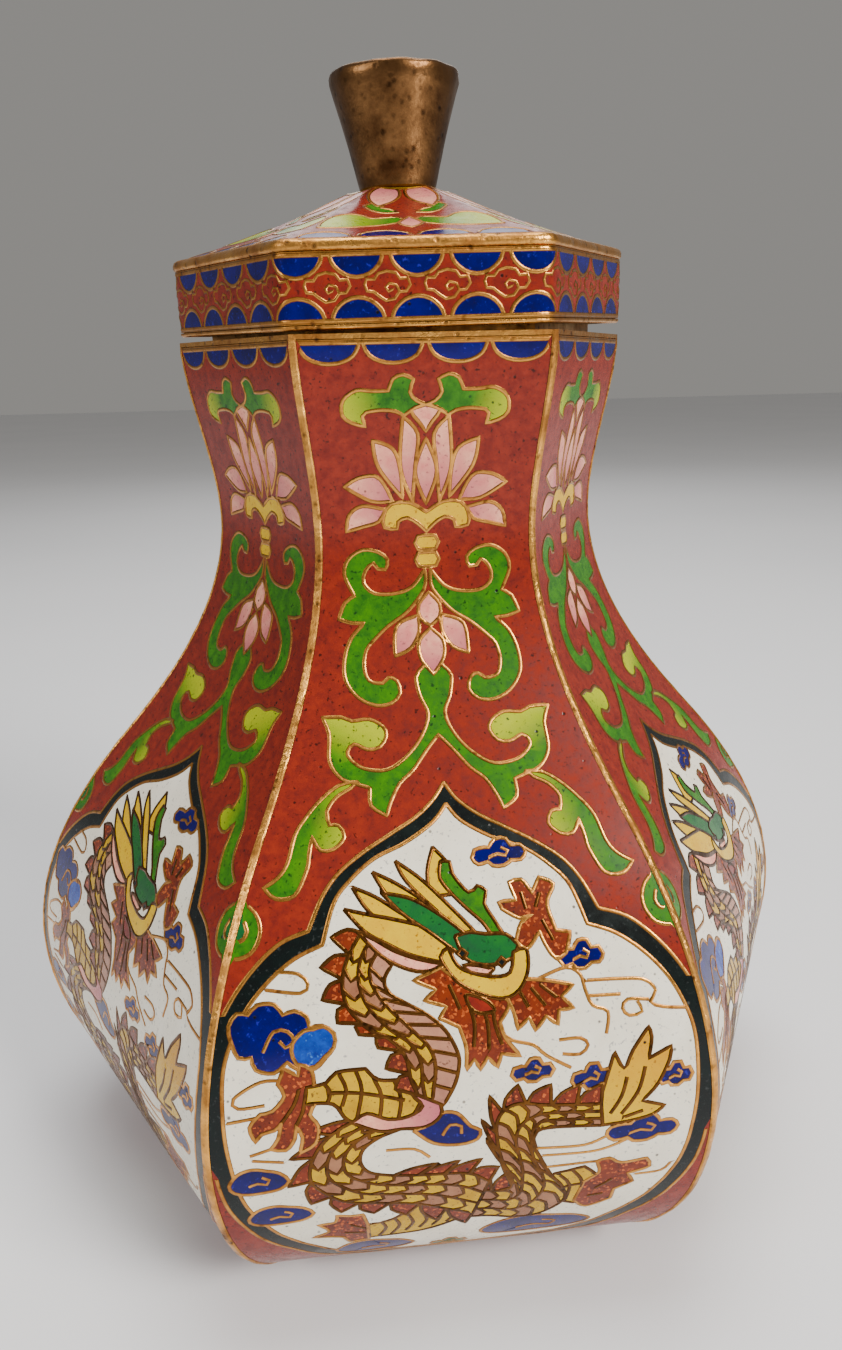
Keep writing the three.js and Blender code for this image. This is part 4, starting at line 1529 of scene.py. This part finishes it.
def lay_sector(drawing, side, glass, points, fade=None, both=False):
    """A cell on one roof side, or the same cell on both sides of that roof side's middle line."""
    lay_cell(drawing, glass, on_sector(side, points), fade and on_sector(side, fade))
    if both:
        lay_sector(drawing, side, glass, mirrored(points), fade and mirrored(fade))


def lay_roof(drawing):
    """The roof's design, six times round."""
    lay_ground(drawing, "red", -40, -40, 40, 40)
    disc = [(-2.75, 0.9, 1), (2.75, 0.9, 1), (2.4, 2.3), (1.3, 3.1), (0, 3.4), (-1.3, 3.1), (-2.4, 2.3)]
    leaf = [
        (0.3, 7.0, 1), (2.4, 5.8), (4.6, 5.2), (7.0, 5.0), (9.8, 5.2, 1), (9.4, 7.2), (8.2, 9.2),
        (6.4, 10.0), (5.0, 9.4), (4.0, 8.2), (2.6, 8.4), (1.2, 8.4),
    ]
    bud = [(0, 4.6, 1), (1.3, 6.2), (0, 8.6, 1), (-1.3, 6.2)]
    scroll = [
        (1.0, 10.2, 1), (2.4, 10.0), (3.8, 11.0), (4.6, 12.6, 1), (3.6, 13.6), (2.4, 12.8), (2.8, 11.9),
        (1.8, 11.4),
    ]
    petal = [
        (6.0, -1.0), (8.0, -1.75), (10.2, -1.3), (12.0, 0.0, 1), (10.2, 1.3), (8.0, 1.75), (6.0, 1.0),
    ]
    for side in range(6):
        for step in range(4):
            middle = (step - 1.5) * band_period
            lay_sector(drawing, side, "blue", [(middle + x, *rest) for x, *rest in disc])
        lay_sector(drawing, side, "green", leaf, [(2, 7), (8, 8)], both=True)
        lay_sector(drawing, side, "pink", bud, [(0, 5), (0, 8)])
        lay_sector(drawing, side, "green", scroll, both=True)
    for step in range(12):
        out, sideways = heading(30 * step + 15), heading(30 * step + 105)
        spots = [(*(out * x + sideways * y)[:2], *sharp) for x, y, *sharp in petal]
        lay_cell(drawing, "pink", spots, (out[:2] * 11, out[:2] * 6))
    lay_cell(drawing, "yellow", [tuple(heading(step * 20)[:2] * 6.1) for step in range(18)])


def roof_place(spots, lifts):
    """Where the roof's drawing comes to lie on the seated lid."""
    x, y = spots[:, 0], spots[:, 1]
    near = 0.05
    height = roof_height(lid_gauge(x, y))
    slope_x = (roof_height(lid_gauge(x + near, y)) - roof_height(lid_gauge(x - near, y))) / (2 * near)
    slope_y = (roof_height(lid_gauge(x, y + near)) - roof_height(lid_gauge(x, y - near))) / (2 * near)
    turn = np.array(lid_place)[:3, :3]
    out = np.stack([-slope_x, -slope_y, np.ones(len(x))], axis=-1)
    out /= np.linalg.norm(out, axis=1)[:, None]
    across = np.stack([np.ones(len(x)), 0 * x, slope_x], axis=-1)
    along = np.stack([0 * x, np.ones(len(x)), slope_y], axis=-1)
    points = np.stack([x, y, height + lifts], axis=-1)
    return on_lid(points), across @ turn.T, along @ turn.T, out @ turn.T


def build_roof():
    """The enamel of the roof, closed underneath by rings that follow its slope."""
    drawing = new_drawing()
    lay_roof(drawing)
    marks = np.linspace(0, lid_girth, 180, endpoint=False)
    rim = on_band(marks, 0, 0)[:, :2] * roof_gauge

    def inside_roof(spots):
        return lid_gauge(spots[:, 0], spots[:, 1]) < roof_gauge - roof_margin

    cut = triangulate(drawing, rim, inside_roof)
    count = len(rim)
    shares = (0.8, 0.6, 0.4, 0.225)
    under_spots = np.vstack([rim * share for share in shares])
    under = rings_to_faces(len(shares) + 1, count) + end_faces(len(shares) + 1, count)[1:]
    piece = enamel_piece("lid_roof_enamel", cut, roof_place, under_spots, under)
    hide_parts("lid")


build_band()
build_roof()


# The knob: a turned bronze trumpet with a short thick rim and a nearly flat top, soldered to the
# middle of the roof. Its sides are dark and brown with age, and the rim is rubbed pale and nicked.
knob_foot_radius = 4.6
knob_top_radius = 7.6
knob_height = 12.3
knob_rim = 1.2
knob_round = 0.6
knob_nick = 0.16
knob_unevenness = 0.03
knob_hollow = 0.12
knob_lift = 0.3
knob_spots = 96
nick_reach = 2.4
nick_rise = 0.7
rim_nick_scale = 1.3
nick_lean = 0.4
first_rubbed_row = 18

knob_bronze = metal("knob_bronze", (122, 86, 52), (70, 46, 26), (40, 25, 14), 0.28, 0.44, 0.4)
knob_rubbed = metal("knob_rubbed", (190, 150, 100), (116, 80, 48), (60, 40, 26), 0.28, 0.5, 0.6)


def build_knob():
    """The turned form, with a slightly dented rim."""
    rows = [(0.02, 0.02), (knob_foot_radius - 0.3, 0.02), (knob_foot_radius, 0.2), (knob_foot_radius, 0.4)]
    for step in range(1, 11):
        share = step / 10
        radius = knob_foot_radius + (knob_top_radius - knob_foot_radius) * share
        radius -= knob_hollow * math.sin(math.pi * share)
        rows.append((radius, knob_lift + (knob_height - knob_rim) * share))
    first_rim_row = len(rows) - 1
    for step in range(1, 9):
        turn = math.radians(90 * step / 8)
        radius = knob_top_radius - knob_round * (1 - math.cos(turn))
        rows.append((radius, knob_lift + knob_height - knob_round * (1 - math.sin(turn))))
    last_rim_row = len(rows) - 1
    for radius, dip in ((knob_top_radius - 1.6, 0.02), (knob_top_radius - 4, 0.1), (0.02, 0.12)):
        rows.append((radius, knob_lift + knob_height - dip))
    points = []
    for row, (radius, height) in enumerate(rows):
        for step in range(knob_spots):
            angle = 2 * math.pi * step / knob_spots
            around = (math.cos(angle) * nick_reach, math.sin(angle) * nick_reach)
            spot = Vector((*around, height * nick_rise))
            if first_rim_row <= row <= last_rim_row:
                nick = knob_nick * noise.noise(spot * rim_nick_scale)
            else:
                nick = knob_unevenness * noise.noise(spot)
            out = np.array([math.cos(angle), math.sin(angle), 0.0])
            level = lid_apex + height + nick * nick_lean
            points.append(out * (radius + nick) + np.array([0, 0, level]))
    faces = rings_to_faces(len(rows), knob_spots) + end_faces(len(rows), knob_spots)
    rubbed_rows = len(rows) - 1 - first_rubbed_row
    choices = [0] * (first_rubbed_row * knob_spots) + [1] * (rubbed_rows * knob_spots) + [0, 1]
    piece = make_mesh("knob_trumpet", on_lid(points), faces, [knob_bronze, knob_rubbed], choices)
    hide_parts("knob")


build_knob()


# The setting: a wide pale table top, soft studio light from above and the right, and the camera at
# the photo's angle. None of it is part of the box.
floor_half = 3.0
floor_paint = bpy.data.materials.new("pale_table")
floor_paint.use_nodes = True
floor_tree = floor_paint.node_tree
floor_noise = add_node(floor_tree, "ShaderNodeTexNoise", {"Scale": 40, "Detail": 4})
floor_colour = blend_colour(floor_tree, floor_noise.outputs["Fac"], (236, 236, 238), (226, 227, 230))
floor_shader = floor_tree.nodes["Principled BSDF"]
floor_tree.links.new(floor_colour, floor_shader.inputs["Base Color"])
floor_shader.inputs["Roughness"].default_value = 0.6
floor_mesh = bpy.data.meshes.new("table_top")
floor_corners = [(x * floor_half, y * floor_half, 0) for x, y in ((-1, -1), (1, -1), (1, 1), (-1, 1))]
floor_mesh.from_pydata(floor_corners, [], [(0, 1, 2, 3)])
floor_mesh.materials.append(floor_paint)
table_top = bpy.data.objects.new("table_top", floor_mesh)
bpy.context.scene.collection.objects.link(table_top)


box_middle = (0, 0, 0.06)


def soft_lamp(name, place, size, power, tint=(1, 1, 1), target=box_middle):
    """A square soft light at a place, facing a target."""
    lamp = bpy.data.lights.new(name, "AREA")
    lamp.shape = "SQUARE"
    lamp.size = size
    lamp.energy = power
    lamp.color = tint
    made = bpy.data.objects.new(name, lamp)
    bpy.context.scene.collection.objects.link(made)
    made.location = place
    made.rotation_mode = "QUATERNION"
    made.rotation_quaternion = (Vector(target) - Vector(place)).to_track_quat("-Z", "Y")


soft_lamp("lamp_right", (0.40, -0.46, 0.46), 0.25, 7.0, (1.0, 0.96, 0.9))
soft_lamp("lamp_left", (-0.5, -0.3, 0.36), 0.3, 1.5)
soft_lamp("lamp_top", (0.0, 0.05, 0.7), 0.4, 3.4)
soft_lamp("lamp_back", (0.1, 0.7, 0.5), 0.4, 0.9)
soft_lamp("lamp_low", (0.24, -0.26, 0.03), 0.035, 0.12, target=(0, 0, 0.13))
world = bpy.data.worlds.new("pale_room")
world.use_nodes = True
world.node_tree.nodes["Background"].inputs["Color"].default_value = (1.0, 0.97, 0.92, 1)
world.node_tree.nodes["Background"].inputs["Strength"].default_value = 0.27
bpy.context.scene.world = world

camera_place = Vector((-12.77, -131.7, 105.47)) * MM
camera_turn = math.radians(-6.08)
camera_pitch = math.radians(17.16)
camera_roll = math.radians(-1.34)
looking = Vector((
    -math.sin(camera_turn) * math.cos(camera_pitch),
    math.cos(camera_turn) * math.cos(camera_pitch),
    -math.sin(camera_pitch),
))
level_right = looking.cross(Vector((0, 0, 1))).normalized()
level_up = level_right.cross(looking)
right = math.cos(camera_roll) * level_right + math.sin(camera_roll) * level_up
up = -math.sin(camera_roll) * level_right + math.cos(camera_roll) * level_up
camera = bpy.data.objects.new("camera", bpy.data.cameras.new("camera"))
bpy.context.scene.collection.objects.link(camera)
camera.data.lens = 26.53
camera.data.sensor_width = 36
camera.data.clip_start = 0.01
camera.data.clip_end = 20
camera.matrix_world = Matrix.Translation(camera_place) @ Matrix((right, up, -looking)).transposed().to_4x4()
bpy.context.scene.camera = camera
